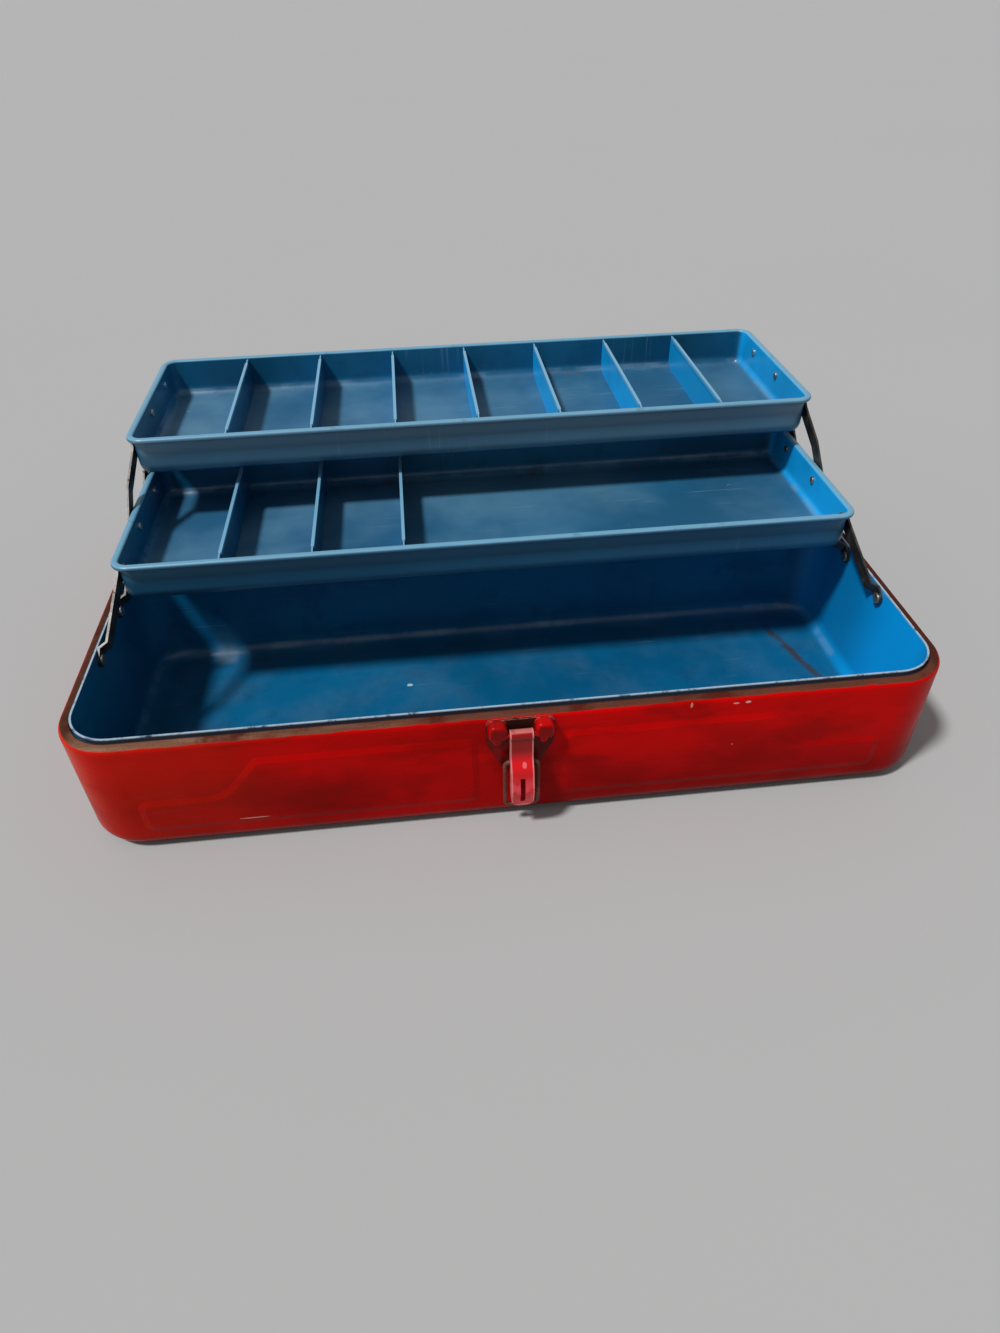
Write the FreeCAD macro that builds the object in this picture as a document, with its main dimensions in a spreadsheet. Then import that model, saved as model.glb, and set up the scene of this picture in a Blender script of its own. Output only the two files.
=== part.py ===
import FreeCAD, Part
import math
import os
from types import SimpleNamespace
import Sketcher
from FreeCAD import Placement, Rotation, Vector

# Cantilever tool box standing open: a red drawn case with a blue inner pan, two blue trays on
# parallel link straps, and the lid laid back behind them.
# The origin is the middle of the case's bottom face, +X to the right, +Y to the back, +Z up.

# Driving dimensions, in millimetres and degrees
DIMENSIONS = {
    # Sheet metal, clearances and the overrun of cuts
    "sheet": 1.0,
    "tray_sheet": 0.9,
    "strip_sheet": 1.2,
    "pin_clearance": 0.05,
    "face_clearance": 0.2,
    "side_clearance": 0.3,
    "overrun": 1.0,
    # Case: outer pan, its ledge and the inner pan whose edge is the lip
    "case_half_width": 226.0,
    "case_half_depth": 85.0,
    "case_corner": 29.0,
    "case_floor_radius": 12.0,
    "ledge_height": 72.7,
    "ledge_edge_radius": 2.5,
    "lip_inset": 6.2,
    "lip_rise": 2.3,
    "lip_corner": 23.0,
    "liner_floor_radius": 11.0,
    # Fields pressed out of the case's front, one each side of the latch
    "field_rise": 0.9,
    "field_slope": 3.6,
    "field_inner": 21.0,
    "field_end_gap": 33.0,
    "field_step_gap": 95.0,
    "field_step_run": 19.0,
    "field_low_rise": 22.5,
    "field_high_drop": 11.9,
    "field_bottom": 14.5,
    "field_corner": 6.0,
    "field_sweep": 18.0,
    # Lid
    "lid_top_radius": 12.0,
    "lid_flange_clearance": 0.6,
    "hinge_standoff": 3.5,
    "hinge_drop": 0.1,
    # Hinges
    "hinge_end_gap": 76.0,
    "hinge_width": 30.0,
    "hinge_leaf_height": 16.0,
    "hinge_middle_knuckle": 9.6,
    "knuckle_radius": 2.9,
    "hinge_pin_radius": 1.4,
    "hinge_rivet_offset": 9.0,
    "hinge_rivet_height": 10.5,
    # Carrying handle and its brackets
    "handle_half_width": 55.0,
    "handle_reach": 33.0,
    "handle_rod": 4.8,
    "handle_bend": 5.0,
    "handle_end": 17.0,
    "handle_play": 0.15,
    "bracket_offset": 45.0,
    "bracket_width": 8.0,
    "bracket_half_length": 13.0,
    "bracket_rivet_offset": 9.2,
    # Trays
    "tray_side_gap": 14.5,
    "tray_depth": 132.0,
    "tray_height": 25.0,
    "tray_corner": 10.4,
    "tray_floor_radius": 6.9,
    "bead_width": 3.3,
    "bead_height": 3.2,
    "bead_radius": 1.5,
    "tray_pivot_drop": 7.5,
    "tray_pivot_first": 12.8,
    "pivot_spacing": 45.0,
    # Dividers
    "divider_sheet": 0.8,
    "divider_drop": 1.5,
    "divider_hem_width": 1.8,
    "divider_hem_height": 3.0,
    "divider_hem_inset": 7.0,
    "divider_notch": 3.0,
    "end_bay_offset": 3.3,
    # Link straps
    "link_length": 52.5,
    "link_width": 8.0,
    "link_flat": 5.5,
    "lower_joggle_start": 5.5,
    "lower_joggle_end": 8.5,
    "lower_joggle": 4.0,
    "upper_lean_start": 24.0,
    "lower_link_angle": 35.0,
    "upper_link_angle": 41.0,
    "case_pivot_y": 7.7,
    "case_pivot_depth": 6.2,
    # Rivets of the links
    "shank_radius": 1.6,
    "case_head_radius": 3.2,
    "tray_head_radius": 2.4,
    "head_height": 1.2,
    "tail_radius": 2.6,
    "tail_height": 1.0,
    "stack_gap": 0.1,
    "dome_radius": 0.8,
    # Small rivets of the fittings
    "small_shank_radius": 1.0,
    "small_head_radius": 2.2,
    "small_head_height": 1.0,
    # Latch base plate and ears
    "latch_half_width": 17.0,
    "latch_foot_half_width": 9.0,
    "latch_top_drop": 0.4,
    "latch_waist_drop": 15.3,
    "latch_foot_drop": 33.3,
    "latch_corner": 3.0,
    "ear_inner": 6.9,
    "ear_outer": 16.4,
    "ear_rise": 6.0,
    "ear_height": 10.0,
    "ear_radius": 2.5,
    "ear_corner": 3.5,
    "latch_rivet_offset": 11.5,
    "latch_rivet_drop": 14.3,
    "latch_pin_drop": 6.8,
    "latch_pin_standoff": 5.0,
    "latch_pin_radius": 1.35,
    "latch_pin_half_length": 14.0,
    # Latch lever, measured from its pin
    "lever_half_width": 5.8,
    "lever_roll_radius": 2.8,
    "lever_back": 2.3,
    "lever_flat_skin": 1.8,
    "lever_flat_end": 15.5,
    "lever_bulge_skin": 5.5,
    "lever_bulge_depth": 21.0,
    "lever_arch_skin": 7.5,
    "lever_arch_depth": 34.0,
    "lever_tip_skin": 5.0,
    "lever_tip_back": 1.0,
    "lever_flange_end": 38.0,
    "lever_length": 46.0,
    "lever_tip_radius": 4.5,
    "lever_bend_radius": 6.0,
    "slot_width": 2.5,
    "slot_top": 25.3,
    "slot_bottom": 42.5,
    # Latch bail
    "bail_pivot_depth": 18.5,
    "bail_pivot_setback": 0.2,
    "bail_half_width": 8.45,
    "bail_reach": 31.0,
    "bail_wire": 2.2,
    "bail_bend": 2.6,
    "bail_end": 4.55,
    # Catch on the lid
    "catch_half_width": 6.0,
    "catch_bottom": 2.4,
    "catch_height": 16.7,
    "catch_reach": 8.7,
    "catch_lip": 4.7,
    "catch_rivet_offset": 3.4,
    "catch_rivet_height": 11.0,
}

UPPER_DIVIDERS = 7
LOWER_DIVIDERS = 3
NEAR = 0.01
HALF_TURN = 180
QUARTER_TURN = 90
# Share of a strap's half width that rounds its ends
END_ROUND_SHARE = 0.99


def value_of(size):
    """The number of a size, or of a plain count."""
    return size.value if isinstance(size, Size) else size


def text_of(size):
    """The sheet formula of a size, or of a plain count."""
    return size.formula if isinstance(size, Size) else str(size)


class Size:
    """A length or an angle, kept as its number and as the sheet formula that gives it."""

    def __init__(self, value, formula):
        self.value = value
        self.formula = formula

    def __add__(self, other):
        return Size(self.value + value_of(other), f"({self.formula} + {text_of(other)})")

    def __radd__(self, other):
        return self + other

    def __sub__(self, other):
        return Size(self.value - value_of(other), f"({self.formula} - {text_of(other)})")

    def __rsub__(self, other):
        return Size(value_of(other) - self.value, f"({text_of(other)} - {self.formula})")

    def __mul__(self, other):
        return Size(self.value * value_of(other), f"({self.formula} * {text_of(other)})")

    def __rmul__(self, other):
        return self * other

    def __truediv__(self, other):
        return Size(self.value / value_of(other), f"({self.formula} / {text_of(other)})")

    def __neg__(self):
        return Size(-self.value, f"(0 - {self.formula})")


def cosine(angle):
    return Size(math.cos(math.radians(angle.value)), f"cos({angle.formula})")


def sine(angle):
    return Size(math.sin(math.radians(angle.value)), f"sin({angle.formula})")


def arctangent(ratio):
    return Size(math.degrees(math.atan(ratio.value)), f"(atan({ratio.formula}) / 1 deg)")


def arcsine(ratio):
    return Size(math.degrees(math.asin(ratio.value)), f"(asin({ratio.formula}) / 1 deg)")


document = FreeCAD.newDocument("ToolBox")
sheet = document.addObject("Spreadsheet::Sheet", "Sizes")
for row, (alias, number) in enumerate(DIMENSIONS.items(), 1):
    sheet.set(f"A{row}", alias)
    sheet.set(f"B{row}", str(number))
    sheet.setAlias(f"B{row}", alias)
document.recompute()
S = SimpleNamespace(**{alias: Size(number, f"Sizes.{alias}") for alias, number in DIMENSIONS.items()})
nodes = []


# Helpers for bodies, sketches and features

def bind(item, path, size):
    """Give a property its value through the sheet."""
    item.setExpression(path, text_of(size))


def new_body(label, listed=True):
    body = document.addObject("PartDesign::Body", label)
    body.Label = label
    if listed:
        nodes.append(body)
    return body


def new_sketch(body, name, role, offset=0):
    """A sketch on one of the body's origin planes, moved along the plane's normal."""
    sketch = body.newObject("Sketcher::SketchObject", name)
    plane = [feature for feature in body.Origin.OriginFeatures if feature.Role == role][0]
    sketch.AttachmentSupport = (plane, [""])
    sketch.MapMode = "FlatFace"
    bind(sketch, "AttachmentOffset.Base.z", offset)
    return sketch


def hold(sketch, kind, geometry, point, size):
    """Fix one coordinate of a point of the sketch."""
    if value_of(size) == 0:
        axis = -2 if kind == "DistanceX" else -1
        sketch.addConstraint(Sketcher.Constraint("PointOnObject", geometry, point, axis))
        return
    held = Sketcher.Constraint(kind, -1, 1, geometry, point, value_of(size))
    index = sketch.addConstraint(held)
    sketch.setExpression(f"Constraints[{index}]", text_of(size))


def draw_radius(sketch, geometry, radius):
    index = sketch.addConstraint(Sketcher.Constraint("Radius", geometry, value_of(radius)))
    sketch.setExpression(f"Constraints[{index}]", text_of(radius))


def spot(point):
    return Vector(value_of(point[0]), value_of(point[1]), 0)


def draw_chain(sketch, points, closed=True):
    """Straight lines from point to point."""
    count = len(points) if closed else len(points) - 1
    for i in range(count):
        line = Part.LineSegment(spot(points[i]), spot(points[(i + 1) % len(points)]))
        sketch.addGeometry(line)
    joints = count if closed else count - 1
    for i in range(joints):
        sketch.addConstraint(Sketcher.Constraint("Coincident", i, 2, (i + 1) % count, 1))
    for i, point in enumerate(points[:count]):
        hold(sketch, "DistanceX", i, 1, point[0])
        hold(sketch, "DistanceY", i, 1, point[1])
    if not closed:
        hold(sketch, "DistanceX", count - 1, 2, points[-1][0])
        hold(sketch, "DistanceY", count - 1, 2, points[-1][1])


def draw_rounded(sketch, left, front, right, back, corner, first=0):
    """A rectangle with four round corners, its lines and arcs numbered from the first."""
    low = Vector(left.value, value_of(front), 0)
    high = Vector(right.value, back.value, 0)
    bend = corner.value
    ends = [
        (low + Vector(bend, 0, 0), Vector(high.x - bend, low.y, 0)),
        (Vector(high.x, low.y + bend, 0), high - Vector(0, bend, 0)),
        (high - Vector(bend, 0, 0), Vector(low.x + bend, high.y, 0)),
        (Vector(low.x, high.y - bend, 0), low + Vector(0, bend, 0)),
    ]
    centres = [
        Vector(high.x - bend, low.y + bend, 0),
        high - Vector(bend, bend, 0),
        Vector(low.x + bend, high.y - bend, 0),
        low + Vector(bend, bend, 0),
    ]
    up = Vector(0, 0, 1)
    for i in range(4):
        sketch.addGeometry(Part.LineSegment(*ends[i]))
        turn = math.radians(QUARTER_TURN)
        start = (i - 1) * turn
        sketch.addGeometry(Part.ArcOfCircle(Part.Circle(centres[i], up, bend), start, start + turn))
    for i in range(4):
        line = first + 2 * i
        arc = line + 1
        following = first + (2 * i + 2) % 8
        sketch.addConstraint(Sketcher.Constraint("Tangent", line, 2, arc, 1))
        sketch.addConstraint(Sketcher.Constraint("Tangent", arc, 2, following, 1))
        kind = "Horizontal" if i % 2 == 0 else "Vertical"
        sketch.addConstraint(Sketcher.Constraint(kind, line))
        if i > 0:
            sketch.addConstraint(Sketcher.Constraint("Equal", first + 1, arc))
    draw_radius(sketch, first + 1, corner)
    hold(sketch, "DistanceY", first, 1, front)
    hold(sketch, "DistanceX", first + 2, 1, right)
    hold(sketch, "DistanceY", first + 4, 1, back)
    hold(sketch, "DistanceX", first + 6, 1, left)


def draw_rectangle(sketch, left, low, right, high, first=0):
    for points in [((left, low), (right, low)), ((right, low), (right, high)),
                   ((right, high), (left, high)), ((left, high), (left, low))]:
        sketch.addGeometry(Part.LineSegment(spot(points[0]), spot(points[1])))
    for i in range(4):
        kind = "Horizontal" if i % 2 == 0 else "Vertical"
        sketch.addConstraint(Sketcher.Constraint("Coincident", first + i, 2, first + (i + 1) % 4, 1))
        sketch.addConstraint(Sketcher.Constraint(kind, first + i))
    hold(sketch, "DistanceX", first, 1, left)
    hold(sketch, "DistanceY", first, 1, low)
    hold(sketch, "DistanceX", first + 2, 1, right)
    hold(sketch, "DistanceY", first + 2, 1, high)


def draw_bends(sketch, points, radii):
    """A closed outline of straight lines through given corners, each corner rounded by its radius."""
    count = len(points)
    corners = [spot(point) for point in points]
    bends = []
    for i, corner in enumerate(corners):
        back = (corners[i - 1] - corner).normalize()
        ahead = (corners[(i + 1) % count] - corner).normalize()
        half = back.getAngle(ahead) / 2
        radius = radii[i].value
        begin = corner + back * (radius / math.tan(half))
        end = corner + ahead * (radius / math.tan(half))
        middle = corner + (back + ahead).normalize() * (radius / math.sin(half) - radius)
        left_turn = ahead.cross(back).z > 0
        bends.append((begin, middle, end, left_turn))
    for i in range(count):
        sketch.addGeometry(Part.LineSegment(bends[i][2], bends[(i + 1) % count][0]))
    for begin, middle, end, left_turn in bends:
        sketch.addGeometry(Part.Arc(begin, middle, end))
    for corner in corners:
        sketch.addGeometry(Part.Point(corner), True)
    for i in range(count):
        before = (i - 1) % count
        arc = count + i
        corner = 2 * count + i
        start, finish = (1, 2) if bends[i][3] else (2, 1)
        sketch.addConstraint(Sketcher.Constraint("Tangent", before, 2, arc, start))
        sketch.addConstraint(Sketcher.Constraint("Tangent", arc, finish, i, 1))
        sketch.addConstraint(Sketcher.Constraint("PointOnObject", corner, 1, before))
        sketch.addConstraint(Sketcher.Constraint("PointOnObject", corner, 1, i))
        draw_radius(sketch, arc, radii[i])
        hold(sketch, "DistanceX", corner, 1, points[i][0])
        hold(sketch, "DistanceY", corner, 1, points[i][1])


def draw_circles(sketch, centres, radius):
    for i, centre in enumerate(centres):
        sketch.addGeometry(Part.Circle(spot(centre), Vector(0, 0, 1), value_of(radius)))
        hold(sketch, "DistanceX", i, 3, centre[0])
        hold(sketch, "DistanceY", i, 3, centre[1])
        draw_radius(sketch, i, radius)


def extrude(body, sketch, kind, length, both_ways=False):
    """A pad along the sketch's normal, or a pocket against it."""
    feature = body.newObject(f"PartDesign::{kind}", f"{kind}Of{sketch.Name}")
    feature.Profile = sketch
    feature.SideType = "Symmetric" if both_ways else "One side"
    bind(feature, "Length", length)
    return feature


def round_edges(body, name, radius, chosen, kind="Fillet"):
    """A fillet or a chamfer on the edges whose bounding box is chosen."""
    document.recompute()
    base = body.Tip
    picked = [f"Edge{i}" for i, edge in enumerate(base.Shape.Edges, 1) if chosen(edge.BoundBox)]
    feature = body.newObject(f"PartDesign::{kind}", name)
    feature.Base = (base, picked)
    bind(feature, "Radius" if kind == "Fillet" else "Size", radius)
    document.recompute()
    return feature


def at(low, high, size):
    """True where a span of a bounding box lies at one coordinate."""
    return abs(low - value_of(size)) < NEAR and abs(high - value_of(size)) < NEAR


def inside(box, half_width, front, back):
    """True where a bounding box lies within a plan rectangle."""
    across = max(abs(box.XMin), abs(box.XMax)) < half_width.value + NEAR
    return across and box.YMin > value_of(front) - NEAR and box.YMax < back.value + NEAR


def place(item, origin, axis=Vector(1, 0, 0), angle=0):
    """Put an item at its place, turned about an axis by an angle of the sheet or a fixed one."""
    item.Placement = Placement(Vector(), Rotation(axis, value_of(angle)))
    for letter, size in zip("xyz", origin):
        bind(item, f"Placement.Base.{letter}", size)
    if isinstance(angle, Size):
        bind(item, "Placement.Rotation.Angle", angle)


def drill(body, name, role, start, centres, radius, depth, both_ways=False):
    """Round holes cut from a start plane against its normal."""
    sketch = new_sketch(body, name, role, start)
    draw_circles(sketch, centres, radius)
    extrude(body, sketch, "Pocket", depth, both_ways)


def mirrored(label, source, listed=True):
    """The same piece on the left-hand side."""
    item = document.addObject("Part::Mirroring", label)
    item.Label = label
    item.Source = source
    item.Normal = Vector(1, 0, 0)
    if listed:
        nodes.append(item)
    return item


def grouped(label, items, frame):
    """Alike pieces as one node of separate solids."""
    item = document.addObject("Part::Compound", label)
    item.Label = label
    item.Links = items
    frame(item)
    nodes.append(item)
    return item


# Frames that the pieces are modelled in

lid_gap = S.face_clearance
hinge_y = S.case_half_depth + S.hinge_standoff
hinge_z = S.ledge_height - S.hinge_drop
hinge_offset = S.case_half_width - S.hinge_end_gap
bracket_height = S.handle_rod + 2 * S.handle_play + S.strip_sheet
# The open lid lies level, with its handle brackets on the ground
lid_top = hinge_z - bracket_height
lid_bottom = S.ledge_height + lid_gap - hinge_z

front_pivot_y = -S.case_pivot_y
rear_pivot_y = S.pivot_spacing - S.case_pivot_y
case_pivot_z = S.ledge_height + S.lip_rise - S.case_pivot_depth
lower_reach = S.link_length * cosine(S.lower_link_angle)
lower_lift = S.link_length * sine(S.lower_link_angle)
upper_reach = S.link_length * cosine(S.upper_link_angle)
upper_lift = S.link_length * sine(S.upper_link_angle)
lower_tray_y = front_pivot_y + lower_reach - S.tray_pivot_first
lower_tray_z = case_pivot_z + lower_lift + S.tray_pivot_drop
upper_tray_y = lower_tray_y + S.pivot_spacing + upper_reach
upper_tray_z = lower_tray_z + upper_lift

tray_pivots = [S.tray_pivot_first + i * S.pivot_spacing for i in range(3)]


def case_frame(item):
    """The case's own frame, which is that of the whole box."""
    item.Placement = Placement()


def lid_frame(item):
    """Origin on the hinge axis, drawn as closed and then turned half a turn open."""
    place(item, (0, hinge_y, hinge_z), angle=HALF_TURN)


def lower_tray_frame(item):
    """Origin at the middle of the tray's front edge, at the rim."""
    place(item, (0, lower_tray_y, lower_tray_z))


def upper_tray_frame(item):
    place(item, (0, upper_tray_y, upper_tray_z))


# Case: outer pan and inner pan

latch_top = S.ledge_height - S.latch_top_drop
latch_rivet_z = latch_top - S.latch_rivet_drop
latch_pin_z = latch_top - S.latch_pin_drop
liner_half_width = S.case_half_width - S.lip_inset
liner_half_depth = S.case_half_depth - S.lip_inset
liner_inner_x = liner_half_width - S.sheet
liner_inner_y = liner_half_depth - S.sheet
lip_height = S.ledge_height + S.lip_rise
fitting_hole = S.small_shank_radius + S.pin_clearance
leaf_rivet_x = [side * hinge_offset + hand * S.hinge_rivet_offset for side in (-1, 1) for hand in (-1, 1)]


def hollow_pan(body, bottom, top, floor, ceiling, mouth_inset, radius, rim_radius, mouth_down):
    """A drawn pan with a flange turned in round its mouth, at its top or at its bottom."""
    half_width = S.case_half_width
    half_depth = S.case_half_depth
    outline = new_sketch(body, "Outline", "XY_Plane", bottom)
    middle = S.case_half_depth + S.hinge_standoff if mouth_down else 0
    front = -half_depth - middle
    back = half_depth - middle
    draw_rounded(outline, -half_width, front, half_width, back, S.case_corner)
    extrude(body, outline, "Pad", top - bottom)
    cavity = new_sketch(body, "Cavity", "XY_Plane", ceiling)
    inner_x = half_width - S.sheet
    inner_front = front + S.sheet
    inner_back = back - S.sheet
    draw_rounded(cavity, -inner_x, inner_front, inner_x, inner_back, S.case_corner - S.sheet)
    extrude(body, cavity, "Pocket", ceiling - floor)
    inner_plate, inner_rim = (ceiling, floor) if mouth_down else (floor, ceiling)
    round_edges(body, "PlateBend", radius - S.sheet, lambda box: at(box.ZMin, box.ZMax, inner_plate))
    round_edges(body, "RimBend", rim_radius - S.sheet, lambda box: at(box.ZMin, box.ZMax, inner_rim))
    outer_plate, outer_rim = (top, bottom) if mouth_down else (bottom, top)
    round_edges(body, "PlateEdge", radius, lambda box: at(box.ZMin, box.ZMax, outer_plate))
    round_edges(body, "RimEdge", rim_radius, lambda box: at(box.ZMin, box.ZMax, outer_rim))
    mouth_level = floor if mouth_down else top
    mouth = new_sketch(body, "Mouth", "XY_Plane", mouth_level)
    mouth_corner = S.case_corner - mouth_inset
    draw_rounded(mouth, -half_width + mouth_inset, front + mouth_inset, half_width - mouth_inset,
                 back - mouth_inset, mouth_corner)
    extrude(body, mouth, "Pocket", S.sheet)


def pressed_field(body, hand):
    """A shallow field pressed out of the front, its upper edge swept down towards the case's end."""
    inner = hand * S.field_inner
    outer = hand * (S.case_half_width - S.field_end_gap)
    step = hand * (S.case_half_width - S.field_step_gap)
    step_foot = hand * (S.case_half_width - S.field_step_gap + S.field_step_run)
    high = S.ledge_height - S.field_high_drop
    low = S.field_bottom + S.field_low_rise
    points = [(inner, S.field_bottom), (outer, S.field_bottom), (outer, low), (step_foot, low),
              (step, high), (inner, high)]
    corner = S.field_corner
    radii = [corner, corner, corner, S.field_sweep, corner, corner]
    side = "Right" if hand > 0 else "Left"
    taper = -arctangent(S.field_slope / S.field_rise)
    for kind, depth in (("Pad", S.case_half_depth), ("Pocket", S.case_half_depth - S.sheet)):
        outline = new_sketch(body, f"{side}Field{kind}", "XZ_Plane", depth)
        draw_bends(outline, points, radii)
        feature = extrude(body, outline, kind, S.field_rise)
        feature.Reversed = kind == "Pocket"
        bind(feature, "TaperAngle", taper)


def body_shell():
    body = new_body("body_shell")
    ceiling = S.ledge_height - S.sheet
    hollow_pan(body, 0, S.ledge_height, S.sheet, ceiling, S.lip_inset - S.side_clearance,
               S.case_floor_radius, S.ledge_edge_radius, False)
    for hand in (-1, 1):
        pressed_field(body, hand)
    wall_cut = S.sheet + 2 * S.overrun
    drill(body, "HingeHoles", "XZ_Plane", S.sheet + S.overrun - S.case_half_depth,
          [(x, hinge_z - S.hinge_rivet_height) for x in leaf_rivet_x], fitting_hole, wall_cut)
    drill(body, "LatchHoles", "XZ_Plane", S.case_half_depth + S.overrun,
          [(hand * S.latch_rivet_offset, latch_rivet_z) for hand in (-1, 1)], fitting_hole, wall_cut)


def body_liner():
    body = new_body("body_liner")
    outline = new_sketch(body, "Outline", "XY_Plane", S.sheet)
    draw_rounded(outline, -liner_half_width, -liner_half_depth, liner_half_width, liner_half_depth,
                 S.lip_corner)
    extrude(body, outline, "Pad", lip_height - S.sheet)
    cavity = new_sketch(body, "Cavity", "XY_Plane", lip_height)
    draw_rounded(cavity, -liner_inner_x, -liner_inner_y, liner_inner_x, liner_inner_y,
                 S.lip_corner - S.sheet)
    floor = 2 * S.sheet
    extrude(body, cavity, "Pocket", lip_height - floor)
    round_edges(body, "FloorBend", S.liner_floor_radius - S.sheet,
                lambda box: at(box.ZMin, box.ZMax, floor))
    round_edges(body, "FloorEdge", S.liner_floor_radius, lambda box: at(box.ZMin, box.ZMax, S.sheet))
    drill(body, "PivotHoles", "YZ_Plane", 0, [(y, case_pivot_z) for y in (front_pivot_y, rear_pivot_y)],
          S.shank_radius + S.pin_clearance, 2 * S.case_half_width, True)


# Lid

def lid_shell():
    body = new_body("lid_shell")
    flange_inset = S.lip_inset - S.lid_flange_clearance
    hollow_pan(body, lid_bottom, lid_top, lid_bottom + S.sheet, lid_top - S.sheet, flange_inset,
               S.lid_top_radius, S.ledge_edge_radius, True)
    wall_cut = S.sheet + 2 * S.overrun
    drill(body, "HingeHoles", "XZ_Plane", S.hinge_standoff + S.sheet + S.overrun,
          [(x, S.hinge_rivet_height) for x in leaf_rivet_x], fitting_hole, wall_cut)
    drill(body, "CatchHoles", "XZ_Plane", hinge_y + S.case_half_depth + S.overrun,
          [(hand * S.catch_rivet_offset, catch_rivet_z) for hand in (-1, 1)], fitting_hole, wall_cut)
    drill(body, "BracketHoles", "XY_Plane", lid_top + S.overrun,
          [(hand * S.bracket_offset, side * S.bracket_rivet_offset - hinge_y)
           for hand in (-1, 1) for side in (-1, 1)], fitting_hole, wall_cut)
    lid_frame(body)


# Hinges

def hinge_leaf(label, hand, on_lid):
    """A leaf with its knuckles, drawn about the hinge axis: up on the lid, down on the case."""
    body = new_body(label)
    half = S.hinge_width / 2
    middle = S.hinge_middle_knuckle / 2
    tall = S.hinge_leaf_height
    low, high = (0, tall) if on_lid else (-tall, 0)
    plate = new_sketch(body, "Plate", "XZ_Plane", S.hinge_standoff - S.strip_sheet)
    draw_rectangle(plate, -half, low, half, high)
    extrude(body, plate, "Pad", S.strip_sheet)
    turning = S.knuckle_radius + S.side_clearance
    notch_low, notch_high = (-S.overrun, turning) if on_lid else (-turning, S.overrun)
    sketch = new_sketch(body, "Notch", "XZ_Plane", S.hinge_standoff + S.overrun)
    spans = [(-half - S.overrun, -middle), (middle, half + S.overrun)]
    if not on_lid:
        spans = [(-middle - S.side_clearance, middle + S.side_clearance)]
    for i, (left, right) in enumerate(spans):
        draw_rectangle(sketch, left, notch_low, right, notch_high, 4 * i)
    extrude(body, sketch, "Pocket", S.strip_sheet + 2 * S.overrun)
    if on_lid:
        knuckles = [(-middle, S.hinge_middle_knuckle)]
    else:
        outer = half - middle - S.side_clearance
        knuckles = [(-half, outer), (middle + S.side_clearance, outer)]
    for i, (start, length) in enumerate(knuckles):
        ring = new_sketch(body, f"Knuckle{i}", "YZ_Plane", start)
        draw_circles(ring, [(0, 0)], S.knuckle_radius)
        extrude(body, ring, "Pad", length)
    drill(body, "PinHole", "YZ_Plane", 0, [(0, 0)], S.hinge_pin_radius + S.pin_clearance,
          S.hinge_width + 2 * S.overrun, True)
    height = S.hinge_rivet_height if on_lid else -S.hinge_rivet_height
    drill(body, "RivetHoles", "XZ_Plane", S.hinge_standoff + S.overrun,
          [(side * S.hinge_rivet_offset, height) for side in (-1, 1)], fitting_hole,
          S.strip_sheet + 2 * S.overrun)
    foot = tall if on_lid else -tall
    round_edges(body, "FootCorners", S.strip_sheet,
                lambda box: at(box.ZMin, box.ZMax, foot) and box.XLength < NEAR)
    place(body, (hand * hinge_offset, hinge_y, hinge_z), angle=HALF_TURN if on_lid else 0)


def hinge_pin(label, hand):
    body = new_body(label)
    section = new_sketch(body, "Section", "YZ_Plane", 0)
    draw_circles(section, [(0, 0)], S.hinge_pin_radius)
    extrude(body, section, "Pad", S.hinge_width, True)
    place(body, (hand * hinge_offset, hinge_y, hinge_z))


# Rivets

def rivet(name, radii, heights, grip):
    """A rivet along +X, the underside of its head at the origin: head, shank through the grip, tail."""
    body = new_body(name, listed=False)
    starts = [-heights[0], 0, grip]
    lengths = [heights[0], grip, heights[1]]
    for i in range(3):
        section = new_sketch(body, f"Section{i}", "YZ_Plane", starts[i])
        draw_circles(section, [(0, 0)], radii[i])
        extrude(body, section, "Pad", lengths[i])
    for i, face in enumerate((-heights[0], grip + heights[1])):
        round_edges(body, f"Dome{i}", S.dome_radius, lambda box: at(box.XMin, box.XMax, face))
    return body


def link_rivet(name, head_radius, grip):
    return rivet(name, (head_radius, S.shank_radius, S.tail_radius), (S.head_height, S.tail_height), grip)


def small_rivet(name, grip):
    return rivet(name, (S.small_head_radius, S.small_shank_radius, S.small_head_radius),
                 (S.small_head_height, S.small_head_height), grip)


def link_rivet_pair(label, head_radius, start, grip, places, frame):
    """Link rivets along X from a start plane, at places in the YZ plane, on both sides."""
    pieces = []
    for i, (y, z) in enumerate(places):
        piece = link_rivet(f"{label}_{i}", head_radius, grip)
        place(piece, (start, y, z))
        pieces += [piece, mirrored(f"{label}_{i}_left", piece, listed=False)]
    grouped(label, pieces, frame)


def fitting_rivets(label, grip, places, axis, frame):
    """Small rivets at given places, turned a quarter about an axis."""
    pieces = []
    for i, origin in enumerate(places):
        piece = small_rivet(f"{label}_{i}", grip)
        place(piece, origin, axis, QUARTER_TURN)
        pieces.append(piece)
    grouped(label, pieces, frame)


# Trays

tray_half_width = S.case_half_width - S.tray_side_gap
wall_x = tray_half_width - S.bead_width
tray_inner_x = wall_x - S.tray_sheet
tray_inner_front = S.bead_width + S.tray_sheet
tray_inner_back = S.tray_depth - S.bead_width - S.tray_sheet
tray_floor = S.tray_sheet - S.tray_height
bay = 2 * (tray_inner_x - S.end_bay_offset) / (UPPER_DIVIDERS + 1)


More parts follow.
